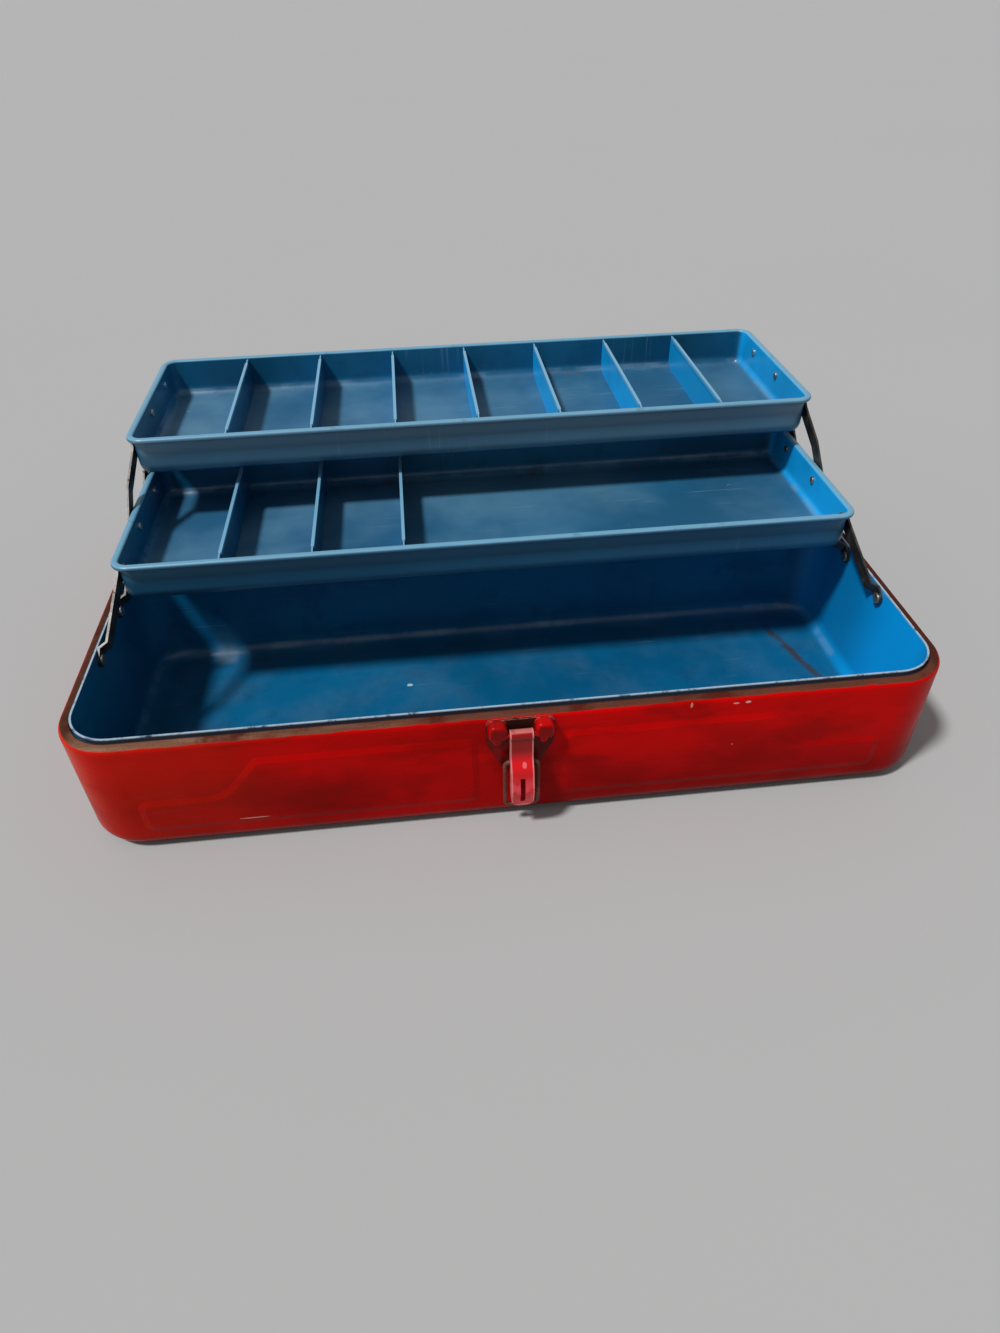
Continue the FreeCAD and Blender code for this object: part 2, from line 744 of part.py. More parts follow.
def tray(label, frame):
    body = new_body(label)
    wall = new_sketch(body, "Wall", "XY_Plane", -S.tray_height)
    wall_corner = S.tray_corner - S.bead_width
    draw_rounded(wall, -wall_x, S.bead_width, wall_x, S.tray_depth - S.bead_width, wall_corner)
    extrude(body, wall, "Pad", S.tray_height)
    bead = new_sketch(body, "Bead", "XY_Plane", -S.bead_height)
    draw_rounded(bead, -tray_half_width, 0, tray_half_width, S.tray_depth, S.tray_corner)
    extrude(body, bead, "Pad", S.bead_height)
    cavity = new_sketch(body, "Cavity", "XY_Plane", 0)
    inner_corner = wall_corner - S.tray_sheet
    draw_rounded(cavity, -tray_inner_x, tray_inner_front, tray_inner_x, tray_inner_back, inner_corner)
    extrude(body, cavity, "Pocket", -tray_floor)
    round_edges(body, "FloorBend", S.tray_floor_radius - S.tray_sheet,
                lambda box: at(box.ZMin, box.ZMax, tray_floor))
    round_edges(body, "FloorEdge", S.tray_floor_radius, lambda box: at(box.ZMin, box.ZMax, -S.tray_height))
    round_edges(body, "BeadTop", S.bead_radius, lambda box: at(box.ZMin, box.ZMax, 0))
    round_edges(body, "BeadUnder", S.bead_radius, lambda box: at(box.ZMin, box.ZMax, -S.bead_height)
                and not inside(box, wall_x, S.bead_width, S.tray_depth - S.bead_width))
    drill(body, "PivotHoles", "YZ_Plane", 0, [(y, -S.tray_pivot_drop) for y in tray_pivots],
          S.shank_radius + S.pin_clearance, 2 * S.case_half_width, True)
    frame(body)


def divider(label, index, frame):
    """An upright web with a hemmed top edge, notched at the front and shaped to the tray's bends."""
    body = new_body(label)
    front = tray_inner_front + S.side_clearance
    back = tray_inner_back - S.side_clearance
    top = -S.divider_drop
    web = new_sketch(body, "Web", "YZ_Plane", 0)
    draw_rectangle(web, front, tray_floor, back, top)
    extrude(body, web, "Pad", S.divider_sheet, True)
    round_edges(body, "Feet", S.tray_floor_radius, lambda box: at(box.ZMin, box.ZMax, tray_floor)
                and box.YLength < NEAR)
    round_edges(body, "Notch", S.divider_notch, lambda box: at(box.YMin, box.YMax, front)
                and at(box.ZMin, box.ZMax, top), "Chamfer")
    hem = new_sketch(body, "Hem", "YZ_Plane", 0)
    draw_rectangle(hem, front + S.divider_hem_inset, top - S.divider_hem_height,
                   back - S.divider_hem_inset, top)
    extrude(body, hem, "Pad", S.divider_hem_width, True)
    frame(body)
    bind(body, "Placement.Base.x", (index + 1) * bay + S.end_bay_offset - tray_inner_x)


# Link straps

eye_x = wall_x + S.face_clearance + S.strip_sheet / 2
case_eye_x = liner_inner_x - S.face_clearance - S.strip_sheet / 2
upper_eye_x = tray_half_width + 2 * S.face_clearance + S.strip_sheet / 2
link_end = S.link_width / 2
lower_path = [
    (case_eye_x, -link_end),
    (case_eye_x, S.lower_joggle_start),
    (case_eye_x - S.lower_joggle, S.lower_joggle_end),
    (eye_x, S.link_length - S.link_flat),
    (eye_x, S.link_length + link_end),
]
upper_path = [
    (upper_eye_x, -link_end),
    (upper_eye_x, S.upper_lean_start),
    (eye_x, S.link_length - S.link_flat),
    (eye_x, S.link_length + link_end),
]


def link(label, path, angle, pivot_y, pivot_z):
    """A strap bent in plan so that it passes the rims, with a round eye at each end."""
    body = new_body(f"{label}_right")
    route = new_sketch(body, "Route", "XY_Plane", 0)
    draw_chain(route, path, closed=False)
    section = new_sketch(body, "Section", "XZ_Plane", link_end)
    half = S.strip_sheet / 2
    start_x = path[0][0]
    draw_rectangle(section, start_x - half, -link_end, start_x + half, link_end)
    document.recompute()
    strap = body.newObject("PartDesign::AdditivePipe", "Strap")
    strap.Profile = section
    strap.Spine = route
    strap.Transition = "Right corner"
    far_end = S.link_length + link_end
    round_edges(body, "Ends", link_end * END_ROUND_SHARE, lambda box: box.ZLength < NEAR
                and (at(box.YMin, box.YMax, -link_end) or at(box.YMin, box.YMax, far_end)))
    drill(body, "Eyes", "YZ_Plane", S.case_half_width, [(0, 0), (S.link_length, 0)],
          S.shank_radius + S.pin_clearance, S.case_half_width)
    place(body, (0, pivot_y, pivot_z), angle=angle)
    mirrored(f"{label}_left", body)


def spacers(label, start, length, y, frame):
    """Washers between the tray's wall and an upper strap."""
    body = new_body(f"{label}_right_piece", listed=False)
    ring = new_sketch(body, "Ring", "YZ_Plane", start)
    draw_circles(ring, [(0, 0)], S.tail_radius)
    extrude(body, ring, "Pad", length)
    drill(body, "Bore", "YZ_Plane", start + length + S.overrun, [(0, 0)],
          S.shank_radius + S.pin_clearance, length + 2 * S.overrun)
    place(body, (0, y, -S.tray_pivot_drop))
    grouped(label, [body, mirrored(f"{label}_left_piece", body, listed=False)], frame)


# Bent rods: the carrying handle and the latch bail

def bail(label, half_width, reach, end, rod, bend):
    """A rod bent to a U, with ends turned in: pivot ends along X at the origin, cross bar at +Y."""
    body = new_body(label)
    route = new_sketch(body, "Route", "XY_Plane", 0)
    inner = half_width - end
    corner = half_width - bend
    runs = [
        ((-inner, 0), (-corner, 0)),
        ((-half_width, bend), (-half_width, reach - bend)),
        ((-corner, reach), (corner, reach)),
        ((half_width, reach - bend), (half_width, bend)),
        ((corner, 0), (inner, 0)),
    ]
    centres = [(-corner, bend), (-corner, reach - bend), (corner, reach - bend), (corner, bend)]
    quarter = math.radians(QUARTER_TURN)
    for run in runs:
        route.addGeometry(Part.LineSegment(spot(run[0]), spot(run[1])))
    for i, centre in enumerate(centres):
        circle = Part.Circle(spot(centre), Vector(0, 0, 1), bend.value)
        start = (3 - i) * quarter - quarter if i else 2 * quarter
        route.addGeometry(Part.ArcOfCircle(circle, start, start + quarter))
    for i, run in enumerate(runs):
        for point in (0, 1):
            hold(route, "DistanceX", i, point + 1, run[point][0])
            hold(route, "DistanceY", i, point + 1, run[point][1])
    for i in range(4):
        arc = len(runs) + i
        route.addConstraint(Sketcher.Constraint("Coincident", i, 2, arc, 2))
        route.addConstraint(Sketcher.Constraint("Coincident", i + 1, 1, arc, 1))
        draw_radius(route, arc, bend)
    section = new_sketch(body, "Section", "YZ_Plane", -inner)
    draw_circles(section, [(0, 0)], rod / 2)
    document.recompute()
    pipe = body.newObject("PartDesign::AdditivePipe", "Rod")
    pipe.Profile = section
    pipe.Spine = route
    return body


def lid_handle():
    """The handle hangs from its brackets until its cross bar lies on the ground."""
    body = bail("lid_handle", S.handle_half_width, S.handle_reach, S.handle_end, S.handle_rod,
                S.handle_bend)
    pivot_height = bracket_height - S.handle_play - S.handle_rod / 2
    drop = pivot_height - S.handle_rod / 2 - S.pin_clearance
    droop = arcsine(drop / S.handle_reach)
    place(body, (0, 2 * hinge_y, pivot_height), angle=HALF_TURN + droop)


def handle_bracket(label, hand):
    """A strip bridged over the handle's rod, with a foot at each side."""
    body = new_body(label)
    inner = S.handle_rod / 2 + 2 * S.handle_play
    outer = inner + S.strip_sheet
    crown = bracket_height - S.strip_sheet
    foot = S.bracket_half_length
    points = [
        (-foot, 0), (-inner, 0), (-inner, crown), (inner, crown), (inner, 0), (foot, 0),
        (foot, S.strip_sheet), (outer, S.strip_sheet), (outer, bracket_height),
        (-outer, bracket_height), (-outer, S.strip_sheet), (-foot, S.strip_sheet),
    ]
    section = new_sketch(body, "Section", "YZ_Plane", 0)
    draw_chain(section, points)
    extrude(body, section, "Pad", S.bracket_width, True)
    round_edges(body, "Crown", inner, lambda box: at(box.ZMin, box.ZMax, bracket_height)
                and box.YLength < NEAR)
    round_edges(body, "CrownBend", inner - S.strip_sheet, lambda box: at(box.ZMin, box.ZMax, crown)
                and box.YLength < NEAR)
    drill(body, "RivetHoles", "XY_Plane", S.strip_sheet + S.overrun,
          [(0, side * S.bracket_rivet_offset) for side in (-1, 1)], fitting_hole,
          S.strip_sheet + 2 * S.overrun)
    place(body, (hand * S.bracket_offset, 2 * hinge_y, bracket_height), angle=HALF_TURN)


# Latch

plate_face = S.case_half_depth + S.strip_sheet
latch_pin_y = S.case_half_depth + S.latch_pin_standoff


def latch_base_plate():
    """A shield-shaped plate with two pressed ears that hold the pin."""
    body = new_body("latch_base_plate")
    shield = new_sketch(body, "Shield", "XZ_Plane", S.case_half_depth)
    draw_chain(shield, [
        (-S.latch_half_width, latch_top),
        (-S.latch_half_width, latch_top - S.latch_waist_drop),
        (-S.latch_foot_half_width, latch_top - S.latch_foot_drop),
        (S.latch_foot_half_width, latch_top - S.latch_foot_drop),
        (S.latch_half_width, latch_top - S.latch_waist_drop),
        (S.latch_half_width, latch_top),
    ])
    extrude(body, shield, "Pad", S.strip_sheet)
    round_edges(body, "ShieldCorners", S.latch_corner, lambda box: box.YLength > NEAR)
    ears = new_sketch(body, "Ears", "XZ_Plane", plate_face)
    ear_bottom = latch_top - S.ear_height
    draw_rounded(ears, S.ear_inner, ear_bottom, S.ear_outer, latch_top, S.ear_corner)
    draw_rounded(ears, -S.ear_outer, ear_bottom, -S.ear_inner, latch_top, S.ear_corner, 8)
    extrude(body, ears, "Pad", S.ear_rise)
    outward = -(plate_face + S.ear_rise)
    round_edges(body, "EarFaces", S.ear_radius, lambda box: at(box.YMin, box.YMax, outward))
    drill(body, "PinHoles", "YZ_Plane", 0, [(-latch_pin_y, latch_pin_z)],
          S.latch_pin_radius + S.pin_clearance, 2 * (S.latch_pin_half_length + S.face_clearance), True)
    drill(body, "RivetHoles", "XZ_Plane", plate_face + S.overrun,
          [(hand * S.latch_rivet_offset, latch_rivet_z) for hand in (-1, 1)], fitting_hole,
          S.strip_sheet + 2 * S.overrun)


def latch_pivot_pin():
    body = new_body("latch_pivot_pin")
    section = new_sketch(body, "Section", "YZ_Plane", 0)
    draw_circles(section, [(0, 0)], S.latch_pin_radius)
    extrude(body, section, "Pad", 2 * S.latch_pin_half_length, True)
    place(body, (0, -latch_pin_y, latch_pin_z))


def latch_lever():
    """A pressed lever, hollow behind: rolled eye, flat, bulge and arched tip with a padlock slot."""
    body = new_body("latch_lever")
    solid = new_sketch(body, "Silhouette", "YZ_Plane", 0)
    draw_chain(solid, [
        (S.lever_back, 0),
        (S.lever_back, -S.lever_flange_end),
        (-S.lever_tip_back, -S.lever_length),
        (-S.lever_tip_skin, -S.lever_length),
        (-S.lever_arch_skin, -S.lever_arch_depth),
        (-S.lever_bulge_skin, -S.lever_bulge_depth),
        (-S.lever_flat_skin, -S.lever_flat_end),
        (-S.lever_flat_skin, 0),
    ])
    extrude(body, solid, "Pad", 2 * S.lever_half_width, True)
    hollow = new_sketch(body, "Hollow", "YZ_Plane", 0)
    thick = S.strip_sheet
    open_back = S.lever_back + S.overrun
    hollow_end = thick - S.lever_length
    hollow_start = -S.lever_roll_radius - thick
    draw_chain(hollow, [
        (open_back, hollow_start),
        (open_back, hollow_end),
        (thick - S.lever_tip_skin, hollow_end),
        (thick - S.lever_arch_skin, -S.lever_arch_depth),
        (thick - S.lever_bulge_skin, -S.lever_bulge_depth),
        (thick - S.lever_flat_skin, -S.lever_flat_end),
        (thick - S.lever_flat_skin, hollow_start),
    ])
    extrude(body, hollow, "Pocket", 2 * (S.lever_half_width - thick), True)
    round_edges(body, "TipBend", S.lever_tip_radius - thick, lambda box: at(box.ZMin, box.ZMax, hollow_end)
                and box.XLength < NEAR)
    for i, depth in enumerate((S.lever_arch_depth, S.lever_bulge_depth, S.lever_flat_end)):
        round_edges(body, f"Bend{i}", S.lever_bend_radius, lambda box: at(box.ZMin, box.ZMax, -depth))
    round_edges(body, "Tip", S.lever_tip_radius, lambda box: at(box.ZMin, box.ZMax, -S.lever_length)
                and box.XLength < NEAR)
    roll = new_sketch(body, "Roll", "YZ_Plane", 0)
    draw_circles(roll, [(0, 0)], S.lever_roll_radius)
    extrude(body, roll, "Pad", 2 * S.lever_half_width, True)
    slot = new_sketch(body, "Slot", "XZ_Plane", S.lever_arch_skin + S.overrun)
    draw_rectangle(slot, -S.slot_width / 2, -S.slot_bottom, S.slot_width / 2, -S.slot_top)
    extrude(body, slot, "Pocket", S.lever_arch_skin + S.overrun - S.lever_tip_back)
    drill(body, "PinHole", "YZ_Plane", 0, [(0, 0)], S.latch_pin_radius + S.pin_clearance,
          2 * (S.lever_half_width + S.overrun), True)
    drill(body, "BailHoles", "YZ_Plane", 0, [(-S.bail_pivot_setback, -S.bail_pivot_depth)],
          S.bail_wire / 2 + S.pin_clearance, 2 * (S.lever_half_width + S.overrun), True)
    place(body, (0, -latch_pin_y, latch_pin_z))


def latch_bail():
    body = bail("latch_bail", S.bail_half_width, S.bail_reach, S.bail_end, S.bail_wire, S.bail_bend)
    place(body, (0, -latch_pin_y - S.bail_pivot_setback, latch_pin_z - S.bail_pivot_depth),
          Vector(-1, 0, 0), QUARTER_TURN)


catch_bottom = lid_bottom + S.catch_bottom
catch_rivet_z = catch_bottom + S.catch_rivet_height


def lid_catch():
    """A plate on the lid's front, turned out and up into a hook for the bail."""
    body = new_body("lid_catch")
    face = -hinge_y - S.case_half_depth
    plate = face - S.strip_sheet
    end = face - S.catch_reach
    top = catch_bottom + S.catch_height
    lip = catch_bottom + S.catch_lip
    floor = catch_bottom + S.strip_sheet
    section = new_sketch(body, "Section", "YZ_Plane", 0)
    draw_chain(section, [
        (face, catch_bottom), (face, top), (plate, top), (plate, floor),
        (end + S.strip_sheet, floor), (end + S.strip_sheet, lip), (end, lip), (end, catch_bottom),
    ])
    extrude(body, section, "Pad", 2 * S.catch_half_width, True)
    round_edges(body, "HookBend", S.strip_sheet, lambda box: at(box.YMin, box.YMax, end)
                and at(box.ZMin, box.ZMax, catch_bottom))
    drill(body, "RivetHoles", "XZ_Plane", -plate + S.overrun,
          [(hand * S.catch_rivet_offset, catch_rivet_z) for hand in (-1, 1)], fitting_hole,
          S.strip_sheet + 2 * S.overrun)
    lid_frame(body)


# The whole box

body_shell()
body_liner()
lid_shell()

two_sheets = S.strip_sheet + S.sheet
to_back = Vector(0, 0, 1)
to_front = Vector(0, 0, -1)
downward = Vector(0, 1, 0)

for hand, side_name in ((-1, "left"), (1, "right")):
    hinge_leaf(f"hinge_leaf_body_{side_name}", hand, False)
    hinge_leaf(f"hinge_leaf_lid_{side_name}", hand, True)
    hinge_pin(f"hinge_pin_{side_name}", hand)
fitting_rivets("hinge_body_rivets", two_sheets,
               [(x, plate_face, hinge_z - S.hinge_rivet_height) for x in leaf_rivet_x],
               to_front, case_frame)
fitting_rivets("hinge_lid_rivets", two_sheets,
               [(x, S.strip_sheet - S.hinge_standoff, S.hinge_rivet_height) for x in leaf_rivet_x],
               to_front, lid_frame)

latch_base_plate()
latch_pivot_pin()
latch_lever()
latch_bail()
fitting_rivets("latch_base_rivets", two_sheets,
               [(hand * S.latch_rivet_offset, -plate_face, latch_rivet_z) for hand in (-1, 1)],
               to_back, case_frame)
lid_catch()
catch_face = -hinge_y - plate_face
fitting_rivets("lid_catch_rivets", two_sheets,
               [(hand * S.catch_rivet_offset, catch_face, catch_rivet_z) for hand in (-1, 1)],
               to_back, lid_frame)

for hand, side_name in ((-1, "left"), (1, "right")):
    handle_bracket(f"handle_bracket_{side_name}", hand)
lid_handle()
fitting_rivets("handle_bracket_rivets", two_sheets,
               [(hand * S.bracket_offset, side * S.bracket_rivet_offset - hinge_y, lid_top + S.strip_sheet)
                for hand in (-1, 1) for side in (-1, 1)],
               downward, lid_frame)

tray("lower_tray", lower_tray_frame)
tray("upper_tray", upper_tray_frame)
for i in range(LOWER_DIVIDERS):
    divider(f"lower_tray_divider_{i + 1}", i, lower_tray_frame)
for i in range(UPPER_DIVIDERS):
    divider(f"upper_tray_divider_{i + 1}", i, upper_tray_frame)

link("lower_front_link", lower_path, S.lower_link_angle, front_pivot_y, case_pivot_z)
link("lower_rear_link", lower_path, S.lower_link_angle, rear_pivot_y, case_pivot_z)
upper_pivot_z = lower_tray_z - S.tray_pivot_drop
link("upper_front_link", upper_path, S.upper_link_angle, lower_tray_y + tray_pivots[1], upper_pivot_z)
link("upper_rear_link", upper_path, S.upper_link_angle, lower_tray_y + tray_pivots[2], upper_pivot_z)

half_strip = S.strip_sheet / 2
case_rivet_start = case_eye_x - half_strip - S.stack_gap
link_rivet_pair("body_pivot_rivets", S.case_head_radius, case_rivet_start,
                liner_half_width - case_rivet_start,
                [(y, case_pivot_z) for y in (front_pivot_y, rear_pivot_y)], case_frame)
single_grip = eye_x + half_strip + S.stack_gap - tray_inner_x
stacked_grip = upper_eye_x + half_strip + S.stack_gap - tray_inner_x
tray_rivets = [
    ("lower_tray_front_rivets", 0, single_grip, lower_tray_frame),
    ("lower_tray_middle_rivets", 1, stacked_grip, lower_tray_frame),
    ("lower_tray_rear_rivets", 2, stacked_grip, lower_tray_frame),
    ("upper_tray_front_rivets", 0, single_grip, upper_tray_frame),
    ("upper_tray_middle_rivets", 1, single_grip, upper_tray_frame),
    ("upper_tray_plug_rivets", 2, S.tray_sheet, upper_tray_frame),
]
for label, index, grip, frame in tray_rivets:
    link_rivet_pair(label, S.tray_head_radius, tray_inner_x, grip,
                    [(tray_pivots[index], -S.tray_pivot_drop)], frame)
upper_eye_face = upper_eye_x - half_strip - S.stack_gap
outer_eye_face = eye_x + half_strip + S.stack_gap
spacers("lower_tray_middle_spacers", outer_eye_face, upper_eye_face - outer_eye_face, tray_pivots[1],
        lower_tray_frame)
spacers("lower_tray_rear_spacers", wall_x + S.stack_gap, upper_eye_face - wall_x - S.stack_gap,
        tray_pivots[2], lower_tray_frame)

document.recompute()
for item in document.Objects:
    if "Invalid" in item.State or "Error" in item.State:
        raise ValueError(f"{item.Label} is {item.State}")
for item in nodes:
    if item.Shape.isNull() or not item.Shape.isValid():
        raise ValueError(f"{item.Label} has no valid shape")
os.makedirs("parts", exist_ok=True)
for item in nodes:
    item.Shape.exportStep(f"parts/{item.Label}.step")
    box = item.Shape.BoundBox
    print(f"{item.Label}: {len(item.Shape.Solids)} solid(s), {item.Shape.Volume:.1f} mm3,"
          f" z {box.ZMin:.2f} to {box.ZMax:.2f}")
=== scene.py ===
import math

import bpy
from mathutils import Matrix, Vector


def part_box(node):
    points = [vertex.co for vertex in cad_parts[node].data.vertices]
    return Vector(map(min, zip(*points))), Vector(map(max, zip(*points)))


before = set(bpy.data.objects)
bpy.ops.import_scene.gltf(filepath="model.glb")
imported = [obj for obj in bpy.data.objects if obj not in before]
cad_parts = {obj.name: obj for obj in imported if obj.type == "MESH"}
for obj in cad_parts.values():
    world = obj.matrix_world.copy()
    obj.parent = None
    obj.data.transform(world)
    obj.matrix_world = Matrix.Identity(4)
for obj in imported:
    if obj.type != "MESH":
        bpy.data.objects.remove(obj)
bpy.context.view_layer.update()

MM = 0.001

# The camera fitted to the photograph, in its pixels, in millimetres and in degrees
PHOTO_SIZE = (1000, 1333)
PHOTO_FOCAL = 870.28
CAMERA_PLACE = (-39.2, -393.1, 362.9)
CAMERA_PITCH = 39.747
CAMERA_YAW = -5.533
CAMERA_ROLL = -1.192
SENSOR = 36.0
CLIP_NEAR = 0.01
CLIP_FAR = 100.0

# Light and floor. Tones are as the screen shows them, the spread is in degrees
SUN_TRAVEL = (0.52, 0.3, -1.0)
SUN_SPREAD = 7.0
SUN_STRENGTH = 2.75
SKY_STRENGTH = 0.3
SKY_TONE = (178, 178, 178)
FLOOR_TONE = (176, 176, 176)
FLOOR_REACH = 30.0
FLOOR_DROP = 0.02 * MM

# Dusty film on the front faces of the trays, as the screen shows it
LOWER_TRAY_FRONT = (34, 78, 108)
UPPER_TRAY_FRONT = (66, 100, 122)

# Outer faces of the pressed shells, which tell their insides from their outsides
CASE_HALF_WIDTH = 226 * MM
CASE_HALF_DEPTH = 85 * MM
CASE_CORNER = 29 * MM
CASE_BEND = 12 * MM
LIP_INSET = 6.2 * MM
LEDGE_HEIGHT = 72.7 * MM
LID_CENTRE = 177 * MM
LID_FACE = 6.3 * MM

# The curve between a screen's tones and linear light
TOE_END = 0.04045
TOE_SLOPE = 12.92
CURVE_OFFSET = 0.055
CURVE_POWER = 2.4

# Sockets of the Mix node, told apart by number because their names repeat
MIX_AMOUNT = 0
MIX_NUMBERS = (2, 3)
MIX_COLOURS = (6, 7)
MIX_NUMBER_OUT = 0
MIX_COLOUR_OUT = 2

# Rays that the Bevel and Ambient Occlusion nodes send out
NEARBY_SAMPLES = 6


def tone(red, green, blue):
    """A colour as the screen shows it, turned to the linear one that nodes use."""
    linear = []
    for value in (red, green, blue):
        share = value / 255
        if share <= TOE_END:
            linear.append(share / TOE_SLOPE)
        else:
            linear.append(((share + CURVE_OFFSET) / (1 + CURVE_OFFSET)) ** CURVE_POWER)
    return (*linear, 1.0)


class Recipe:
    """A node material while it is being put together."""

    def __init__(self, name):
        self.material = bpy.data.materials.new(name)
        self.material.use_nodes = True
        self.tree = self.material.node_tree
        self.tree.nodes.clear()
        self.output = self.node("ShaderNodeOutputMaterial")
        self.shader = self.node("ShaderNodeBsdfPrincipled")
        self.tree.links.new(self.shader.outputs[0], self.output.inputs["Surface"])
        self.coords = self.node("ShaderNodeTexCoord")
        self.place = self.coords.outputs["Object"]
        self.parts = self.node("ShaderNodeSeparateXYZ")
        self.tree.links.new(self.place, self.parts.inputs[0])
        self.facing = self.node("ShaderNodeSeparateXYZ")
        self.tree.links.new(self.coords.outputs["Normal"], self.facing.inputs[0])

    def node(self, kind, **settings):
        made = self.tree.nodes.new(kind)
        for name, value in settings.items():
            setattr(made, name, value)
        return made

    def feed(self, socket, value):
        if isinstance(value, bpy.types.NodeSocket):
            self.tree.links.new(value, socket)
        else:
            socket.default_value = value

    def maths(self, operation, *values, clamp=False):
        made = self.node("ShaderNodeMath", operation=operation, use_clamp=clamp)
        for socket, value in zip(made.inputs, values):
            self.feed(socket, value)
        return made.outputs[0]

    def both(self, first, second):
        return self.maths("MULTIPLY", first, second, clamp=True)

    def either(self, first, second):
        return self.maths("MAXIMUM", first, second, clamp=True)

    def but(self, value):
        return self.maths("SUBTRACT", 1.0, value, clamp=True)

    def along(self, axis):
        """The place along an axis, in metres."""
        return self.parts.outputs[axis]

    def turned(self, axis):
        """How far the surface faces along an axis, from -1 to 1."""
        return self.facing.outputs[axis]

    def step(self, value, low, high):
        """A smooth step from 0 at low to 1 at high. High may be below low."""
        made = self.node("ShaderNodeMapRange", interpolation_type="SMOOTHSTEP")
        self.feed(made.inputs["Value"], value)
        backwards = high < low
        made.inputs["From Min"].default_value = min(low, high)
        made.inputs["From Max"].default_value = max(low, high)
        made.inputs["To Min"].default_value = 1.0 if backwards else 0.0
        made.inputs["To Max"].default_value = 0.0 if backwards else 1.0
        return made.outputs["Result"]

    def band(self, value, middle, reach, soft):
        """1 within reach of middle, falling to 0 over the soft width."""
        away = self.maths("ABSOLUTE", self.maths("SUBTRACT", value, middle))
        return self.step(away, reach + soft, reach)

    def stretched(self, stretch, turn=(0.0, 0.0, 0.0)):
        made = self.node("ShaderNodeMapping")
        self.feed(made.inputs["Vector"], self.place)
        made.inputs["Rotation"].default_value = turn
        made.inputs["Scale"].default_value = stretch
        return made.outputs[0]

    def noise(self, scale, detail=3.0, rough=0.5, stretch=None, turn=(0.0, 0.0, 0.0)):
        made = self.node("ShaderNodeTexNoise")
        made.inputs["Scale"].default_value = scale
        made.inputs["Detail"].default_value = detail
        made.inputs["Roughness"].default_value = rough
        source = self.stretched(stretch, turn) if stretch else self.place
        self.feed(made.inputs["Vector"], source)
        return made.outputs["Fac"]

    def mark(self, places, ragged=0.9):
        """An irregular patch. Places holds the middle and the reach along each axis, in metres."""
        total = self.maths("MULTIPLY", self.noise(700.0, 4.0, 0.7), 2.0 * ragged)
        for axis, (middle, reach) in places.items():
            away = self.maths("DIVIDE", self.maths("SUBTRACT", self.along(axis), middle), reach)
            total = self.maths("ADD", total, self.maths("MULTIPLY", away, away))
        return self.step(total, 1.0 + ragged, 0.8 + ragged)

    def worn(self, scale, share):
        """Rare ragged flecks where the paint has flaked. A lower share gives more of them."""
        return self.step(self.noise(scale, 5.0, 0.68), share, share + 0.02)

    def colour(self, amount, first, second):
        made = self.node("ShaderNodeMix", data_type="RGBA")
        self.feed(made.inputs[MIX_AMOUNT], amount)
        for index, value in zip(MIX_COLOURS, (first, second)):
            self.feed(made.inputs[index], value)
        return made.outputs[MIX_COLOUR_OUT]

    def number(self, amount, first, second):
        made = self.node("ShaderNodeMix", data_type="FLOAT")
        self.feed(made.inputs[MIX_AMOUNT], amount)
        for index, value in zip(MIX_NUMBERS, (first, second)):
            self.feed(made.inputs[index], value)
        return made.outputs[MIX_NUMBER_OUT]

    def edges(self, radius):
        """How near a sharp edge or crease is, from 0 to 1."""
        soft = self.node("ShaderNodeBevel", samples=NEARBY_SAMPLES)
        soft.inputs["Radius"].default_value = radius
        true = self.node("ShaderNodeNewGeometry")
        dot = self.node("ShaderNodeVectorMath", operation="DOT_PRODUCT")
        self.tree.links.new(soft.outputs[0], dot.inputs[0])
        self.tree.links.new(true.outputs["Normal"], dot.inputs[1])
        return self.step(self.but(dot.outputs["Value"]), 0.05, 0.22)

    def crevices(self, reach):
        """How closed in a place is, from 0 in the open to 1 in a corner."""
        made = self.node("ShaderNodeAmbientOcclusion", samples=NEARBY_SAMPLES, only_local=True)
        made.inputs["Distance"].default_value = reach
        return self.step(made.outputs["AO"], 0.75, 0.3)

    def relief(self, height, depth, under=None):
        made = self.node("ShaderNodeBump")
        made.inputs["Strength"].default_value = 1.0
        made.inputs["Distance"].default_value = depth
        self.feed(made.inputs["Height"], height)
        if under is not None:
            self.feed(made.inputs["Normal"], under)
        return made.outputs[0]

    def finish(self, colour, roughness, normal, metal=0.0):
        self.feed(self.shader.inputs["Base Color"], colour)
        self.feed(self.shader.inputs["Roughness"], roughness)
        self.feed(self.shader.inputs["Metallic"], metal)
        self.feed(self.shader.inputs["Normal"], normal)
        return self.material


def scratches(recipe, turn, fineness, share):
    """Fine straight scratches that run one way over a surface."""
    lines = recipe.noise(1.0, 2.0, 0.5, (14.0, fineness, fineness), turn)
    patches = recipe.noise(23.0, 2.0, 0.5)
    return recipe.both(
        recipe.step(lines, share, share + 0.05),
        recipe.step(patches, 0.45, 0.62),
    )


